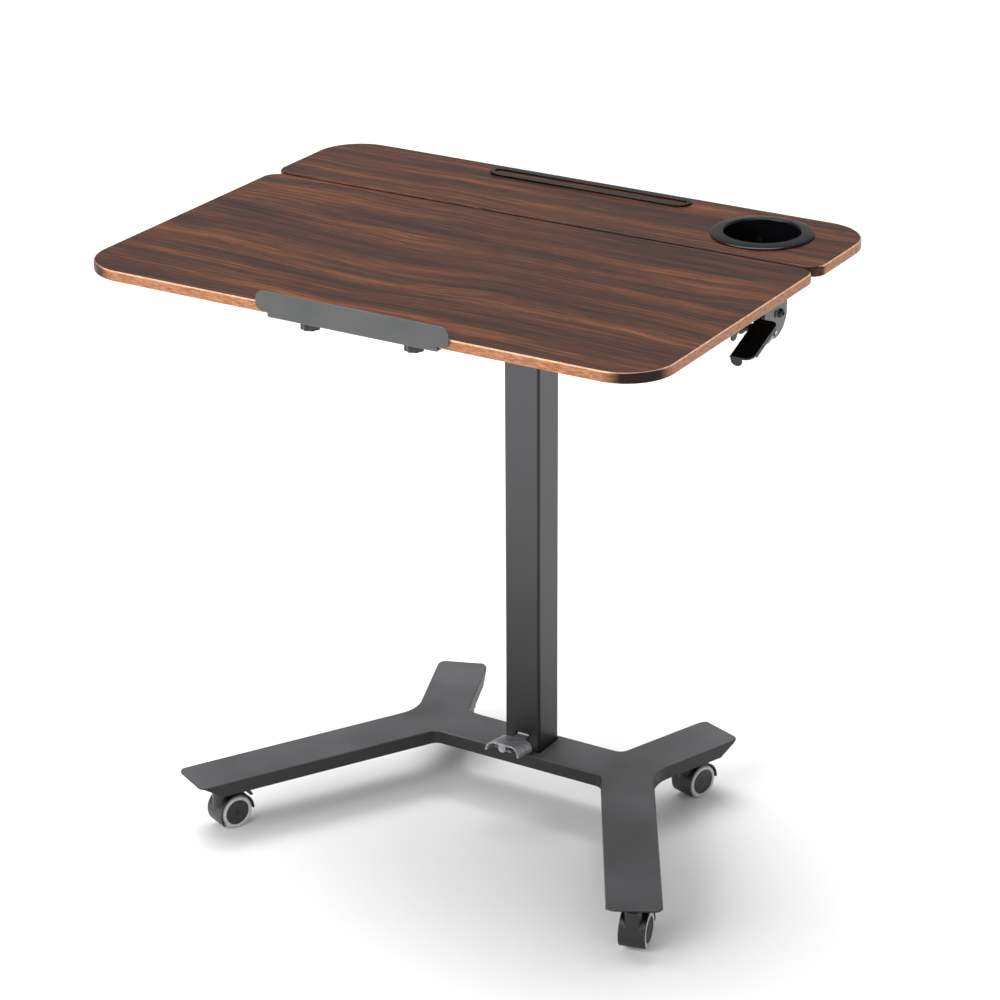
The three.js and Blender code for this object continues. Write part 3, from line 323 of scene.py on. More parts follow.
def tube_coat_with_painted_shade():
    """The same charcoal coat on the drawn tube, with painted shade: near-black round the corners, darker
    towards the foot.
    """
    material, tree, shader = new_material("charcoal_tube_painted_shade", **{"IOR": 1.5})
    spot = add_node(tree, "ShaderNodeTexCoord").outputs["Object"]
    centred = add_node(tree, "ShaderNodeMapping",
                       {"Vector": spot, "Location": (0, -ORIGIN_TO_COLUMN * MM, 0)})
    axes = add_node(tree, "ShaderNodeSeparateXYZ", {"Vector": centred.outputs["Vector"]})
    across = [add_node(tree, "ShaderNodeMath", {0: axes.outputs[i]},
                       operation="ABSOLUTE").outputs[0] for i in (0, 1)]
    nearer = add_node(tree, "ShaderNodeMath", {0: across[0], 1: across[1]}, operation="MINIMUM")
    corner = add_node(tree, "ShaderNodeMapRange", {"Value": nearer.outputs[0],
                                                   "From Min": (COLUMN_HALF - CORNER_SHADE_BAND) * MM,
                                                   "From Max": (COLUMN_HALF - CORNER_SHADE_BAND + 0.3) * MM})
    # Painted shade: the coat is drawn darker towards the foot of the tube.
    height = add_node(tree, "ShaderNodeMapRange", {"Value": axes.outputs[2], "From Min": COLUMN_LOW,
                                                   "From Max": COLUMN_HIGH})
    face = add_node(tree, "ShaderNodeValToRGB", {"Fac": height.outputs["Result"]},
                    stops=[(0.08, "1c1c1e"), (0.9, "646568"), (0.45, "474749")])
    grain = add_node(tree, "ShaderNodeTexNoise",
                     {"Vector": spot, "Scale": 1 / (POWDER_GRAIN * MM), "Detail": 2.0})
    fleck = add_node(tree, "ShaderNodeMix", {"Factor": grain.outputs["Fac"], "A": face.outputs["Color"],
                                             "B": linear("46464a")}, data_type="RGBA",
                                             blend_type="SOFT_LIGHT")
    # Painted shade: a near-black line round each corner of the tube.
    coat = add_node(tree, "ShaderNodeMix", {"Factor": corner.outputs["Result"], "A": fleck.outputs["Result"],
                                            "B": linear("060607")}, data_type="RGBA")
    skin = add_node(tree, "ShaderNodeBump", {"Height": grain.outputs["Fac"], "Strength": 0.12,
                                             "Distance": 0.1 * MM})
    gloss = add_node(tree, "ShaderNodeMapRange",
                     {"Value": grain.outputs["Fac"], "To Min": 0.36, "To Max": 0.5})
    tree.links.new(coat.outputs["Result"], shader.inputs["Base Color"])
    tree.links.new(gloss.outputs["Result"], shader.inputs["Roughness"])
    tree.links.new(skin.outputs["Normal"], shader.inputs["Normal"])
    return material


def moulded_plastic(name, shade, glint, roughness, texture):
    """Moulded ABS or nylon. Texture is the grain etched in the mould, in mm, and 0 is a polished mould."""
    material, tree, shader = new_material(name,
                                          **{"IOR": 1.53, "Specular IOR Level": 0.5 if texture else 0.2})
    spot = add_node(tree, "ShaderNodeTexCoord").outputs["Object"]
    flow = add_node(tree, "ShaderNodeTexNoise", {"Vector": spot, "Scale": 1 / (35 * MM), "Detail": 3.0})
    tint = add_node(tree, "ShaderNodeValToRGB", {"Fac": flow.outputs["Fac"]},
                    stops=[(0.3, shade), (0.75, glint)])
    gloss = add_node(tree, "ShaderNodeMapRange", {"Value": flow.outputs["Fac"], "To Min": roughness - 0.05,
                                                  "To Max": roughness + 0.08})
    etched = add_node(tree, "ShaderNodeTexNoise", {"Vector": spot, "Scale": 1 / (max(texture, 0.3) * MM),
                                                   "Detail": 1.0})
    skin = add_node(tree, "ShaderNodeBump", {"Height": etched.outputs["Fac"],
                                             "Strength": 0.14 if texture else 0.01,
                                             "Distance": 0.08 * MM})
    tree.links.new(tint.outputs["Color"], shader.inputs["Base Color"])
    tree.links.new(gloss.outputs["Result"], shader.inputs["Roughness"])
    tree.links.new(skin.outputs["Normal"], shader.inputs["Normal"])
    return material


coated_tube = tube_coat_with_painted_shade()
guide_nylon = moulded_plastic("moulded_black_nylon", "0d0d0e", "191a1c", 0.42, 0.5)
place(eased(trued("column_tube"), TUBE_EDGE), "outer_tube", coated_tube, "column_tube")
place(eased(trued("column_collar"), 0.8, 3), "guide_collar", guide_nylon, "column_collar")
place(eased(trued("inner_tube"), TUBE_EDGE), "inner_tube_and_head", coated_tube, "inner_tube")
place(eased(trued("lower_glide"), 0.4), "glide", guide_nylon, "lower_glide")


# ---- gas spring and its release: inside the column, a locking spring that stands on a cast block ----
# The rod is hard chromed and points down, the cylinder is painted black. The pedal's arm lifts a thin valve
# pin in the rod, and that unlocks the spring.
TURNED_SEGMENTS = 48
HEX_HALF = math.pi / 6         # half the angle that one side of a hexagon spans


def turned(profile, segments=TURNED_SEGMENTS):
    """A solid turned about Z from (radius, height) points. A third number makes that ring a hexagon."""
    made = bmesh.new()
    rings = []
    for radius, height, *sides in profile:
        ring = []
        for k in range(segments if radius else 1):
            angle = math.tau * k / segments
            flat = 1
            if sides:
                flat = math.cos(HEX_HALF) / math.cos((angle + HEX_HALF) % (2 * HEX_HALF) - HEX_HALF)
            ring.append(made.verts.new((radius * flat * math.cos(angle), radius * flat * math.sin(angle),
                                        height)))
        rings.append(ring)
    for low, high in zip(rings, rings[1:] + ([] if len(rings[0]) == 1 else rings[:1])):
        for k in range(segments):
            loop = [low[k % len(low)], low[(k + 1) % segments % len(low)],
                    high[(k + 1) % segments % len(high)],
                    high[k % len(high)]]
            corners = list(dict.fromkeys(loop))
            if len(corners) > 2:
                made.faces.new(corners)
    bmesh.ops.recalc_face_normals(made, faces=made.faces)
    mesh = bpy.data.meshes.new("turned")
    made.to_mesh(mesh)
    made.free()
    return mesh


def span(node):
    """The lowest and the highest corner of a CAD node, in millimetres."""
    return [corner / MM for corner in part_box(node)]


chrome = plated_steel("hard_chromed_rod", "b9bcc0", "d9dbde", 0.16,
                      (1 / (0.4 * MM), 1 / (0.4 * MM), 1 / (0.5 * MM)))
black_enamel = powder_coat("black_enamelled_steel", "0e0e0f", "1a1a1c", 0.4)
place(eased(trued("gas_spring_rod"), 0.3), "spring_rod", chrome, "gas_spring_rod")
place(eased(trued("gas_spring_cylinder"), 0.8, 3), "spring_cylinder", black_enamel, "gas_spring_cylinder")
place(eased(trued("release_block"), 0.6), "release_casting", zinc, "release_block")
place(eased(trued("pedal_pin"), 0.3), "pedal_hinge_pin", zinc, "pedal_pin")
place(eased(trued("valve_pin"), 0.3), "release_pin", chrome, "valve_pin")


# ---- pedal: a die-cast arch over a flat arm, hinged in the column and nickel plated ----
# Its edges are rounded for a shoe's sole, and the plating is rubbed to brighter patches.
PEDAL_EDGE = 0.9


def cast_nickel():
    """Zinc die casting under satin nickel: soft grey, with grain from the mould and brighter worn patches."""
    material, tree, shader = new_material("nickel_plated_zinc_casting", **{"Metallic": 0.6})
    spot = add_node(tree, "ShaderNodeTexCoord").outputs["Object"]
    grain = add_node(tree, "ShaderNodeTexNoise", {"Vector": spot, "Scale": 1 / (1.2 * MM), "Detail": 4.0})
    worn = add_node(tree, "ShaderNodeTexNoise", {"Vector": spot, "Scale": 1 / (11 * MM), "Detail": 3.0})
    tint = add_node(tree, "ShaderNodeValToRGB", {"Fac": worn.outputs["Fac"]},
                    stops=[(0.35, "84848a"), (0.7, "acacb2")])
    gloss = add_node(tree, "ShaderNodeMapRange",
                     {"Value": worn.outputs["Fac"], "To Min": 0.42, "To Max": 0.28})
    skin = add_node(tree, "ShaderNodeBump", {"Height": grain.outputs["Fac"], "Strength": 0.2,
                                             "Distance": 0.08 * MM})
    tree.links.new(tint.outputs["Color"], shader.inputs["Base Color"])
    tree.links.new(gloss.outputs["Result"], shader.inputs["Roughness"])
    tree.links.new(skin.outputs["Normal"], shader.inputs["Normal"])
    return material


nickel = cast_nickel()
place(eased(trued("foot_pedal"), PEDAL_EDGE, 3), "pedal_casting", nickel, "foot_pedal")


# ---- head: a rectangular tube across the column's head plate, and two channels under the shelf ----
# All are cut from charcoal-coated steel, with hex socket bolts through the tube's ends.
BAR_EDGE = 0.5
place(eased(trued("cross_beam"), BAR_EDGE / 2), "head_tube", charcoal, "cross_beam")
for word in ("left", "right"):
    place(eased(trued(f"shelf_arm_{word}"), BAR_EDGE), f"shelf_channel_{word}", charcoal, f"shelf_arm_{word}")


# ---- tilt: a D-shaped side plate on each end of the head tube, and an angle arm under the top on a pin ----
# The plates are laser-cut steel in grey, fixed by a domed black bolt with a hexagon socket. The right
# one's rim is what the paddle's brake shoe grips.
PLATE_EDGE = 0.6
DOME = 4.7                    # height of the bolt's domed head
DOME_RADIUS = 5.5
SOCKET = 2.1                  # half the hexagon socket's width
HEAD_HEIGHT = 5
SEAT_GAP = 0.3
BOLT_SHANK = 3


def socket_bolt(shank, length):
    """A domed bolt along +Z, its head above zero, with a hexagon socket."""
    dome = [(DOME_RADIUS * math.cos(a), 0.6 + (DOME - 0.6) * math.sin(a))
            for a in [math.radians(d) for d in range(0, 66, 13)]]
    return turned([(0, -length), (shank - 0.4, -length), (shank, -length + 0.4), (shank, 0), (DOME_RADIUS, 0),
                   *dome,
                   (SOCKET + 0.3, DOME - 0.1, 6), (SOCKET, DOME - 0.4, 6), (SOCKET, DOME - 2.4, 6),
                   (0, DOME - 2.9)])


grey_coat = powder_coat("grey_powder_coat", "4c4e51", "6c6f72", 0.4)
for side, word in ((-1, "left"), (1, "right")):
    place(eased(trued(f"quadrant_{word}"), PLATE_EDGE), f"side_plate_{word}", grey_coat, f"quadrant_{word}")
    place(eased(trued(f"tilt_arm_{word}"), BAR_EDGE), f"top_angle_{word}", charcoal, f"tilt_arm_{word}")
    place(eased(trued(f"tilt_pin_{word}"), 0.4), f"tilt_hinge_pin_{word}", black_enamel, f"tilt_pin_{word}")
    low, high = span(f"quadrant_bolt_{word}")
    middle = (low + high) / 2
    seat = high.x - HEAD_HEIGHT + SEAT_GAP if side > 0 else low.x + HEAD_HEIGHT - SEAT_GAP
    shank_end = low.x if side > 0 else high.x
    turn = Matrix.Rotation(math.radians(90 * side), 4, "Y")
    place(socket_bolt(BOLT_SHANK, abs(seat - shank_end)), f"side_plate_bolt_{word}", black_enamel,
          f"quadrant_bolt_{word}",
          at=Matrix.Translation((seat, middle.y, middle.z)) @ turn)


# ---- boards: the tilting top and the fixed rear shelf, 13 mm fibreboard under walnut-print melamine ----
# The grain runs across the desk. The paler band is drawn darker round each rounded corner as painted shade,
# its upper edge is drawn paler as a painted highlight, and the sides facing the gap are dark walnut as
# painted shade. The cup's hole is cut; the tablet slot's and the stop studs' holes are not.
BOARD_EDGE = 2.5
CORNER_STEPS = 16
FLAT_UP = 0.97                # how much of a flat face's normal points up or down, at least
LEAN = 0.3                    # how much of a normal points up, or at the gap, where a side ends
FACES, SIDES, HIGHLIGHT_EDGES = 0, 1, 2


def rounded(corners, steps=CORNER_STEPS):
    """The points of an outline whose (x, y, radius) corners are turned to arcs."""
    points = []
    for i, (x, y, radius) in enumerate(corners):
        here = Vector((x, y))
        back = (Vector(corners[i - 1][:2]) - here).normalized()
        ahead = (Vector(corners[(i + 1) % len(corners)][:2]) - here).normalized()
        half = back.angle(ahead) / 2
        centre = here + (back + ahead).normalized() * (radius / math.sin(half))
        start = here + back * (radius / math.tan(half)) - centre
        turn = math.copysign(math.pi - 2 * half, back.y * ahead.x - back.x * ahead.y)
        points += [centre + Matrix.Rotation(turn * k / steps, 2) @ start for k in range(steps + 1)]
    return points


def round_hole(x, y, radius, segments=96):
    """The points of a circle."""
    return [Vector((x + radius * math.cos(math.tau * k / segments),
                    y + radius * math.sin(math.tau * k / segments)))
            for k in range(segments)]


def sheet(outlines, low, high, edge, steps=3):
    """A flat sheet between two heights, its long edges rounded outwards. The first outline is the rim."""
    curve = bpy.data.curves.new("sheet", "CURVE")
    curve.dimensions = "2D"
    curve.fill_mode = "BOTH"
    for points in outlines:
        spline = curve.splines.new("POLY")
        spline.points.add(len(points) - 1)
        for point, (x, y) in zip(spline.points, points):
            point.co = (x, y, 0, 1)
        spline.use_cyclic_u = True
    curve.extrude = (high - low) / 2 - edge
    curve.bevel_depth = edge
    curve.bevel_resolution = steps
    stock = bpy.data.objects.new("stock", curve)
    scene.collection.objects.link(stock)
    mesh = bpy.data.meshes.new_from_object(stock.evaluated_get(bpy.context.evaluated_depsgraph_get()))
    bpy.data.objects.remove(stock)
    made = bmesh.new()
    made.from_mesh(mesh)
    bmesh.ops.remove_doubles(made, verts=made.verts, dist=0.01)
    bmesh.ops.translate(made, verts=made.verts, vec=(0, 0, (low + high) / 2))
    bmesh.ops.recalc_face_normals(made, faces=made.faces)
    made.to_mesh(mesh)
    made.free()
    mesh.materials.clear()
    for polygon in mesh.polygons:
        polygon.use_smooth = True
    return worked(mesh, ("WEIGHTED_NORMAL", {"weight": 100, "keep_sharp": True}))


def walnut_melamine():
    """Walnut printed on paper under melamine: long dark and light streaks, fine pores, a satin top coat."""
    material, tree, shader = new_material("walnut_print_melamine", **{"IOR": 1.5, "Specular IOR Level": 0.22})
    spot = add_node(tree, "ShaderNodeTexCoord").outputs["Object"]
    drift = add_node(tree, "ShaderNodeTexNoise", {"Vector": spot, "Scale": 1 / (260 * MM), "Detail": 2.0})
    sway = add_node(tree, "ShaderNodeVectorMath", {0: drift.outputs["Color"], 1: (0.0, 0.05, 0.0)},
                    operation="MULTIPLY")
    bent = add_node(tree, "ShaderNodeVectorMath", {0: spot, 1: sway.outputs[0]}, operation="ADD").outputs[0]
    layers = []
    for length, width, detail in ((190, 3.6, 6.0), (480, 30, 3.0), (24, 0.8, 2.0)):
        stretched = add_node(tree, "ShaderNodeMapping",
                             {"Vector": bent, "Scale": (1 / (length * MM), 1 / (width * MM),
                                                                                   1 / (width * MM))})
        layers.append(add_node(tree, "ShaderNodeTexNoise",
                               {"Vector": stretched.outputs["Vector"], "Scale": 1.0,
                                                            "Detail": detail,
                                                            "Roughness": 0.55}).outputs["Fac"])
    streaks = add_node(tree, "ShaderNodeMix", {"Factor": 0.5, "A": layers[0],
                                               "B": layers[1]}).outputs["Result"]
    figure = add_node(tree, "ShaderNodeMix", {"Factor": 0.27, "A": streaks, "B": layers[2]}).outputs["Result"]
    tint = add_node(tree, "ShaderNodeValToRGB", {"Fac": figure}, stops=[
        (0.36, "140803"), (0.66, "824a28"), (0.44, "2a1208"), (0.5, "3d1e0f"), (0.56, "552c17")])
    pores = add_node(tree, "ShaderNodeMapRange", {"Value": layers[2], "From Min": 0.28, "From Max": 0.4,
                                                  "To Min": 0.72, "To Max": 1.0})
    shade = add_node(tree, "ShaderNodeMix", {"Factor": 1.0, "A": tint.outputs["Color"],
                                             "B": pores.outputs["Result"]},
                     data_type="RGBA", blend_type="MULTIPLY")
    gloss = add_node(tree, "ShaderNodeMapRange", {"Value": figure, "To Min": 0.44, "To Max": 0.34})
    skin = add_node(tree, "ShaderNodeBump", {"Height": layers[2], "Strength": 0.1, "Distance": 0.08 * MM})
    tree.links.new(shade.outputs["Result"], shader.inputs["Base Color"])
    tree.links.new(gloss.outputs["Result"], shader.inputs["Roughness"])
    tree.links.new(skin.outputs["Normal"], shader.inputs["Normal"])
    return material


def edge_band(name, pale, tan, corner_shade_colour):
    """ABS banding, finely speckled, drawn darker as painted shade where it turns round a rounded corner."""
    material, tree, shader = new_material(name, **{"IOR": 1.5, "Roughness": 0.36, "Specular IOR Level": 0.2})
    coordinates = add_node(tree, "ShaderNodeTexCoord")
    facing = add_node(tree, "ShaderNodeSeparateXYZ", {"Vector": coordinates.outputs["Normal"]})
    # Painted shade: faces that point both forward and sideways, round a corner, get the dark colour.
    both = add_node(tree, "ShaderNodeMath", {0: facing.outputs[0], 1: facing.outputs[1]},
                    operation="MULTIPLY")
    turned_face = add_node(tree, "ShaderNodeMath", {0: both.outputs[0]}, operation="ABSOLUTE")
    bent = add_node(tree, "ShaderNodeMapRange",
                    {"Value": turned_face.outputs[0], "From Min": 0.1, "From Max": 0.36})
    stretched = add_node(tree, "ShaderNodeMapping", {"Vector": coordinates.outputs["Object"],
                                                     "Scale": (1 / (9 * MM), 1 / (9 * MM), 1 / (2.2 * MM))})
    speckle = add_node(tree, "ShaderNodeTexNoise", {"Vector": stretched.outputs["Vector"], "Scale": 1.0,
                                                    "Detail": 4.0, "Roughness": 0.7})
    tint = add_node(tree, "ShaderNodeValToRGB", {"Fac": speckle.outputs["Fac"]},
                    stops=[(0.35, tan), (0.65, pale)])
    shade = add_node(tree, "ShaderNodeMix", {"Factor": bent.outputs["Result"], "A": tint.outputs["Color"],
                                             "B": linear(corner_shade_colour)}, data_type="RGBA")
    skin = add_node(tree, "ShaderNodeBump", {"Height": speckle.outputs["Fac"], "Strength": 0.08,
                                             "Distance": 0.1 * MM})
    tree.links.new(shade.outputs["Result"], shader.inputs["Base Color"])
    tree.links.new(skin.outputs["Normal"], shader.inputs["Normal"])
    return material


def board(node, front_radius, rear_radius, gap_side, holes=()):
    """One board over its CAD node: faces in walnut, sides in the band, upper edges paler as painted highlight,
    gap sides dark as painted shade.
    """
    low, high = span(node)
    e = BOARD_EDGE
    left, right, front, rear = low.x + e, high.x - e, low.y + e, high.y - e
    rim = rounded([(left, front, front_radius - e), (right, front, front_radius - e),
                   (right, rear, rear_radius - e),
                   (left, rear, rear_radius - e)])
    mesh = sheet([rim, *holes], low.z, high.z, e)
    for material in (walnut, band, highlight_band):
        mesh.materials.append(material)
    for polygon in mesh.polygons:
        up = polygon.normal.z
        # Sides that face the gap between the boards take the dark walnut, as painted shade.
        gap_shade = polygon.normal.y * gap_side > LEAN
        polygon.material_index = FACES if abs(up) > FLAT_UP or gap_shade else HIGHLIGHT_EDGES if up > LEAN else SIDES
    return mesh


walnut = walnut_melamine()
# The last colour of each band is the painted shade round the rounded corners.
band = edge_band("banding_corner_shade", "c18762", "8a5638", "1f0701")
# The upper rounded edges are drawn in this paler band as a painted highlight.
highlight_band = edge_band("banding_painted_highlight", "e8bf9f", "bd8d6c", "3a1608")
FRONT_RADIUS = 60
GAP_RADIUS = 20
cup_low, cup_high = span("cup_holder")
cup = (cup_low + cup_high) / 2
CUP_BORE = 48.3
HOLE_EDGE = 2.5
place(board("main_top", FRONT_RADIUS, GAP_RADIUS, 1), "tilting_top", walnut, "main_top")
place(board("rear_shelf", GAP_RADIUS, FRONT_RADIUS, -1, [round_hole(cup.x, cup.y, CUP_BORE + HOLE_EDGE)]),
      "fixed_shelf", walnut,
      "rear_shelf")


# ---- cup holder and tablet slot: two glossy black mouldings let into the shelf ----
# The holder is turned, with a drain hole and a domed flange that rests on the board. The slot's liner keeps
# its solid's shape, with the edges rounded over.
CUP_RADIUS = 46
CUP_WALL = 2
CUP_FLOOR = 2
CUP_CORNER = 4                # how far in from the wall the floor's corner starts
DRAIN = 6                     # radius of the drain hole
FLANGE = (cup_high.x - cup_low.x) / 2
FLANGE_HEIGHT = 4
FLANGE_FOOT = cup_high.z - FLANGE_HEIGHT
FLANGE_DOME = 3               # height of the flange's dome
DOME_REACH = 16               # how far in from the rim the dome goes, before it is narrowed
DOME_SHARE = 0.94
ROLL = 3                      # radius of the roll from the flange into the cup
NO_TEXTURE = 0

gloss_abs = moulded_plastic("polished_black_abs", "08080a", "121316", 0.16, NO_TEXTURE)
flange_dome = [(FLANGE - DOME_REACH * (1 - math.cos(a)) * DOME_SHARE,
                FLANGE_FOOT + 1 + FLANGE_DOME * math.sin(a))
               for a in [math.radians(d) for d in range(0, 91, 10)]]
inner_roll = [(CUP_RADIUS + ROLL - ROLL * math.sin(a), cup_high.z - ROLL + ROLL * math.cos(a))
              for a in [math.radians(d) for d in range(0, 91, 15)]]
cup_profile = [(DRAIN, cup_low.z), (CUP_RADIUS - CUP_CORNER, cup_low.z), (CUP_RADIUS + 1, cup_low.z + 1.5),
               (CUP_RADIUS + CUP_WALL, cup_low.z + 4), (CUP_RADIUS + CUP_WALL, FLANGE_FOOT),
               (FLANGE, FLANGE_FOOT),
               *flange_dome, *inner_roll, (CUP_RADIUS, cup_low.z + 6), (CUP_RADIUS - 1.2, cup_low.z + 3),
               (CUP_RADIUS - CUP_CORNER, cup_low.z + CUP_FLOOR), (DRAIN, cup_low.z + CUP_FLOOR)]
place(eased(turned(cup_profile, 128), 0.4, 2, 35), "cup_moulding", gloss_abs, "cup_holder",
      at=Matrix.Translation((cup.x, cup.y, 0)))
place(eased(trued("slot_liner"), 0.9, 3), "slot_moulding", gloss_abs, "slot_liner")


# ---- front stop: a bent steel strip that slides out to hold a laptop when the top is tilted ----
# It is folded from sheet and coated dark grey. Two fluted nylon knobs clamp it from below.
STOP_FOLD = 2.2
KNOB_FLUTES = 8
KNOB_GRIP = 9
KNOB_RADIUS = 11.8
FLUTE = 1.1
KNOB_COLLAR = 7               # radius of the collar above the grip
KNOB_COLLAR_RISE = 3
STUD_RADIUS = 3
WHOLE_FACES = 200             # more corners than any face of the stop has
stop_low, stop_high = span("stop_bar")
strip = folded(trued("stop_bar", WHOLE_FACES), STOP_FOLD, 4, lambda a, b: max(a.z, b.z) < stop_low.z + 0.1
               and max(a.y, b.y) < stop_low.y + 0.1)
stop_coat = powder_coat("dark_grey_powder_coat", "3c3d3d", "555656", 0.4)
place(eased(strip, 0.5), "stop_strip", stop_coat, "stop_bar")


def knob_tree():
    """A fluted grip: a circle pushed in along a cosine, filled and drawn up. Its sizes are named inputs."""
    tree = bpy.data.node_groups.new("fluted_grip", "GeometryNodeTree")
    face = tree.interface
    face.new_socket("Geometry", in_out="OUTPUT", socket_type="NodeSocketGeometry")
    for name, kind in (("Radius", "Float"), ("Flute Depth", "Float"), ("Flutes", "Int"), ("Height", "Float"),
                       ("Material", "Material")):
        face.new_socket(name, in_out="INPUT", socket_type=f"NodeSocket{kind}")
    given = add_node(tree, "NodeGroupInput").outputs
    circle = add_node(tree, "GeometryNodeCurvePrimitiveCircle",
                      {"Resolution": 128, "Radius": given["Radius"]})
    where = add_node(tree, "GeometryNodeInputPosition").outputs[0]
    axes = add_node(tree, "ShaderNodeSeparateXYZ", {0: where})
    angle = add_node(tree, "ShaderNodeMath", {0: axes.outputs[1], 1: axes.outputs[0]}, operation="ARCTAN2")
    wave = add_node(tree, "ShaderNodeMath", {0: angle.outputs[0], 1: given["Flutes"]}, operation="MULTIPLY")
    swing = add_node(tree, "ShaderNodeMath", {0: wave.outputs[0]}, operation="COSINE")
    depth = add_node(tree, "ShaderNodeMath", {0: given["Flute Depth"], 1: given["Radius"]},
                     operation="DIVIDE")
    inward = add_node(tree, "ShaderNodeMath", {0: swing.outputs[0], 1: 1.0}, operation="SUBTRACT")
    share = add_node(tree, "ShaderNodeMath", {0: inward.outputs[0], 1: depth.outputs[0]},
                     operation="MULTIPLY")
    offset = add_node(tree, "ShaderNodeVectorMath", {0: where, "Scale": share.outputs[0]}, operation="SCALE")
    waved = add_node(tree, "GeometryNodeSetPosition", {"Geometry": circle.outputs["Curve"],
                                                       "Offset": offset.outputs[0]})
    filled = add_node(tree, "GeometryNodeFillCurve", {"Curve": waved.outputs[0]})
    filled.mode = "NGONS"
    raised = add_node(tree, "GeometryNodeExtrudeMesh",
                      {"Mesh": filled.outputs[0], "Offset Scale": given["Height"],
                                                       "Individual": False})
    closed = add_node(tree, "GeometryNodeJoinGeometry")
    tree.links.new(raised.outputs["Mesh"], closed.inputs[0])
    tree.links.new(filled.outputs[0], closed.inputs[0])
    welded = add_node(tree, "GeometryNodeMergeByDistance", {"Geometry": closed.outputs[0], "Distance": 0.001})
    real = add_node(tree, "GeometryNodeRealizeInstances", {0: welded.outputs[0]})
    painted = add_node(tree, "GeometryNodeSetMaterial",
                       {"Geometry": real.outputs[0], "Material": given["Material"]})
    add_node(tree, "NodeGroupOutput", {0: painted.outputs[0]})
    return tree


def grown(tree, **sizes):
    """The plain mesh that a node tree makes, its inputs set by their sockets' identifiers."""
    stock = bpy.data.objects.new("stock", bpy.data.meshes.new("stock"))
    scene.collection.objects.link(stock)
    modifier = stock.modifiers.new("grown", "NODES")
    modifier.node_group = tree
    for socket in tree.interface.items_tree:
        if socket.in_out == "INPUT" and socket.name in sizes:
            modifier[socket.identifier] = sizes[socket.name]
    mesh = bpy.data.meshes.new_from_object(stock.evaluated_get(bpy.context.evaluated_depsgraph_get()))
    stock.modifiers.remove(modifier)
    bpy.data.objects.remove(stock)
    return mesh


def merged(*meshes):
    """Several meshes as one, their doubles merged and normals outwards."""
    made = bmesh.new()
    for mesh in meshes:
        made.from_mesh(mesh)
    bmesh.ops.remove_doubles(made, verts=made.verts, dist=0.001)
    bmesh.ops.recalc_face_normals(made, faces=made.faces)
    mesh = bpy.data.meshes.new("merged")
    made.to_mesh(mesh)
    made.free()
    return mesh


knob_nylon = moulded_plastic("moulded_knob_nylon", "0b0b0c", "161718", 0.3, 0.5)
grip_tree = knob_tree()
for word in ("left", "right"):
    low, high = span(f"knob_{word}")
    middle = (low + high) / 2
    grip = grown(grip_tree, **{"Radius": KNOB_RADIUS, "Flute Depth": FLUTE / 2, "Flutes": KNOB_FLUTES,
                               "Height": KNOB_GRIP, "Material": knob_nylon})
    stem = turned([(0, KNOB_GRIP - 1), (KNOB_COLLAR, KNOB_GRIP - 1),
                   (KNOB_COLLAR, KNOB_GRIP + KNOB_COLLAR_RISE),
                   (STUD_RADIUS, KNOB_GRIP + KNOB_COLLAR_RISE), (STUD_RADIUS, high.z - low.z),
                   (0, high.z - low.z)])
    place(eased(merged(grip, stem), 0.7, 3), f"stop_knob_{word}", knob_nylon, f"knob_{word}",
          at=Matrix.Translation((middle.x, middle.y, low.z)))


# ---- paddle: the black tilt lever under the right edge, on a pin in a pressed bracket ----
# Its flat plate is coated matt black and ends in a grey tab for the fingertips. A zinc-plated shoe under its
# hub grips the side plate's rim, and a plain barrel stands for its return spring.
TAB_DEPTH = 8
TAB_WIDTH = 15
matt_black = powder_coat("matt_black_coated_steel", "020202", "060606", 0.42)
place(eased(trued("paddle_bracket"), 0.5), "lever_bracket", black_enamel, "paddle_bracket")
place(eased(trued("paddle_pin"), 0.3), "lever_pin", zinc, "paddle_pin")
lever = eased(trued("paddle_lever"), 0.6, 3)
lever_low = span("paddle_lever")[0]
for material in (matt_black, grey_coat):
    lever.materials.append(material)
for polygon in lever.polygons:
    in_tab = polygon.center.y < lever_low.y + TAB_DEPTH and polygon.center.x < lever_low.x + TAB_WIDTH
    polygon.material_index = 1 if in_tab and polygon.normal.y < -0.5 else 0
place(lever, "tilt_lever", matt_black, "paddle_lever")
place(eased(trued("brake_shoe"), 0.5), "lever_shoe", zinc, "brake_shoe")
place(eased(trued("spring_barrel"), 0.4), "lever_spring_barrel", zinc, "spring_barrel")


# ---- casters: four twin-wheel hooded casters on zinc-plated stems, the front two with brake tabs ----
# Hood and tab are moulded nylon. Each wheel is a dark hub disc with a soft grey tyre moulded round it.
WHEEL = 22                    # radius of the wheel
HALF_WHEEL = 6.4              # half its width
HUB = 16.6                    # radius of the hub disc inside the tyre
AXLE_HOLE = 3.3
hood_nylon = moulded_plastic("moulded_hood_nylon", "121214", "1e1f21", 0.34, 0.5)
hub_nylon = moulded_plastic("moulded_hub_nylon", "202022", "2e2e30", 0.4, 0.5)


def soft_tyre():
    """Thermoplastic rubber: pale grey, matt, with dust rubbed into the tread."""
    material, tree, shader = new_material("grey_thermoplastic_rubber", **{"IOR": 1.5})
    spot = add_node(tree, "ShaderNodeTexCoord").outputs["Object"]
    dust = add_node(tree, "ShaderNodeTexNoise", {"Vector": spot, "Scale": 1 / (5 * MM), "Detail": 4.0})
    tint = add_node(tree, "ShaderNodeValToRGB", {"Fac": dust.outputs["Fac"]},
                    stops=[(0.3, "b4b5b8"), (0.7, "cfd0d3")])
    gloss = add_node(tree, "ShaderNodeMapRange",
                     {"Value": dust.outputs["Fac"], "To Min": 0.42, "To Max": 0.58})
    skin = add_node(tree, "ShaderNodeBump", {"Height": dust.outputs["Fac"], "Strength": 0.15,
                                             "Distance": 0.1 * MM})
    tree.links.new(tint.outputs["Color"], shader.inputs["Base Color"])
    tree.links.new(gloss.outputs["Result"], shader.inputs["Roughness"])
    tree.links.new(skin.outputs["Normal"], shader.inputs["Normal"])
    return material


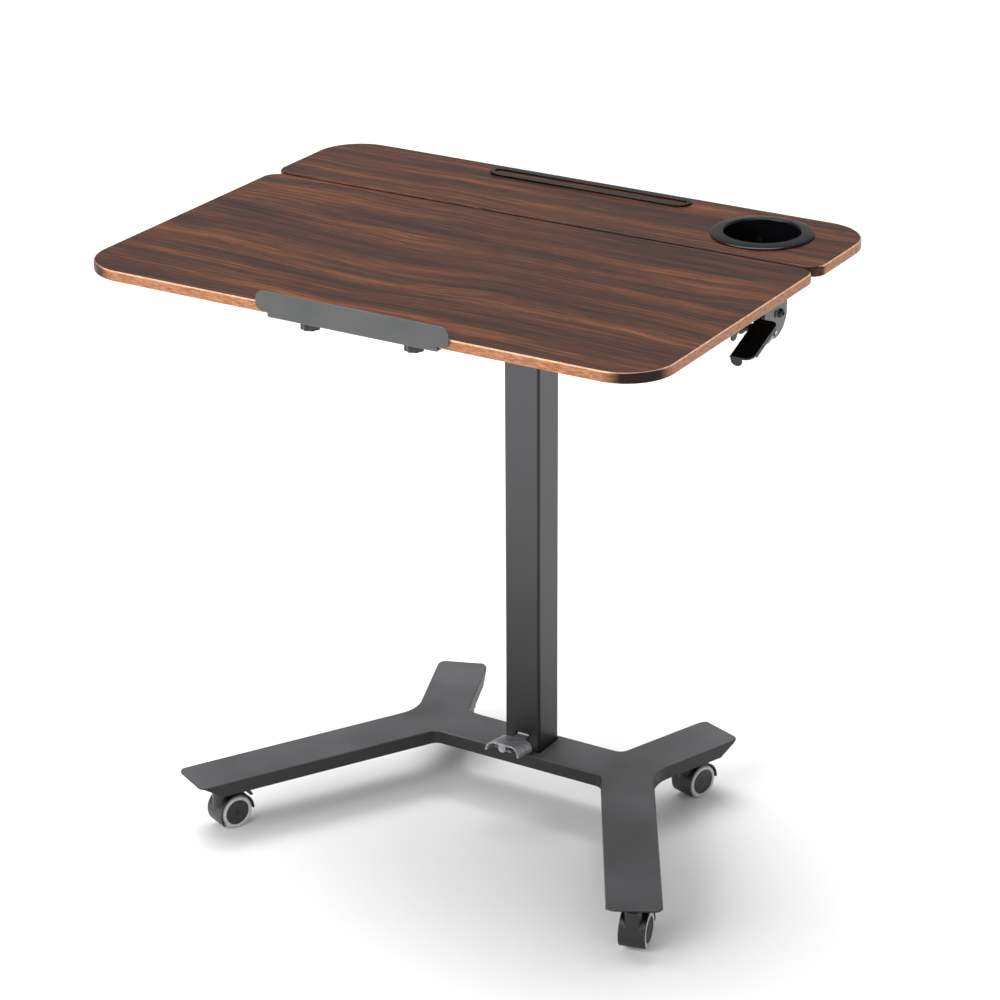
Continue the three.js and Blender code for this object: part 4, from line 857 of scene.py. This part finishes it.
def wheel_mesh():
    """A wheel turned about Z, its outer face up: hub disc with two fine rings, then the rounded tyre."""
    face = HALF_WHEEL - 0.6
    rings = [(HUB - 0.4, face - 1.2), (HUB - 4, face - 1.2), (HUB - 4.4, face - 0.7), (HUB - 5.4, face - 0.7),
             (HUB - 5.8, face - 1.2), (AXLE_HOLE + 3, face - 1.2), (AXLE_HOLE + 2.6, face - 0.4)]
    tyre = [(WHEEL - 3 + 3 * math.sin(a), HALF_WHEEL - 3 + 3 * math.cos(a))
            for a in [math.radians(d) for d in range(90, -1, -15)]]
    mesh = turned([(AXLE_HOLE, -HALF_WHEEL), (WHEEL - 1.8, -HALF_WHEEL), (WHEEL, -HALF_WHEEL + 1.8), *tyre,
                   (HUB + 1, HALF_WHEEL), (HUB, HALF_WHEEL - 0.8), *rings, (AXLE_HOLE, face - 0.4)], 72)
    for material in (hub_nylon, tyre_rubber):
        mesh.materials.append(material)
    for polygon in mesh.polygons:
        reach = math.hypot(polygon.center.x, polygon.center.y)
        polygon.material_index = 1 if reach > HUB - 0.1 else 0
    return mesh


tyre_rubber = soft_tyre()
for caster in sorted({node.rsplit("_", 1)[0] for node in frame["nodes"] if node.endswith("_hood")}):
    place(eased(trued(f"{caster}_stem"), 0.5), f"{caster}_steel_stem", zinc, f"{caster}_stem")
    place(eased(trued(f"{caster}_hood"), 0.5, 3), f"{caster}_cover", hood_nylon, f"{caster}_hood")
    place(eased(trued(f"{caster}_axle"), 0.4), f"{caster}_steel_axle", black_enamel, f"{caster}_axle")
    if f"{caster}_brake" in frame["nodes"]:
        place(eased(trued(f"{caster}_brake"), 0.8, 3), f"{caster}_brake_tab", hood_nylon, f"{caster}_brake")
    centres = {}
    for word in "ab":
        low, high = span(f"{caster}_wheel_{word}")
        centres[word] = (low + high) / 2
    for word, other in (("a", "b"), ("b", "a")):
        outward = (centres[word] - centres[other]).normalized()
        stand = outward.to_track_quat("Z", "X").to_matrix().to_4x4()
        place(eased(wheel_mesh(), 0.25, 2, 35), f"{caster}_wheel_{word}_moulding", tyre_rubber,
              f"{caster}_wheel_{word}", at=Matrix.Translation(centres[word]) @ stand)
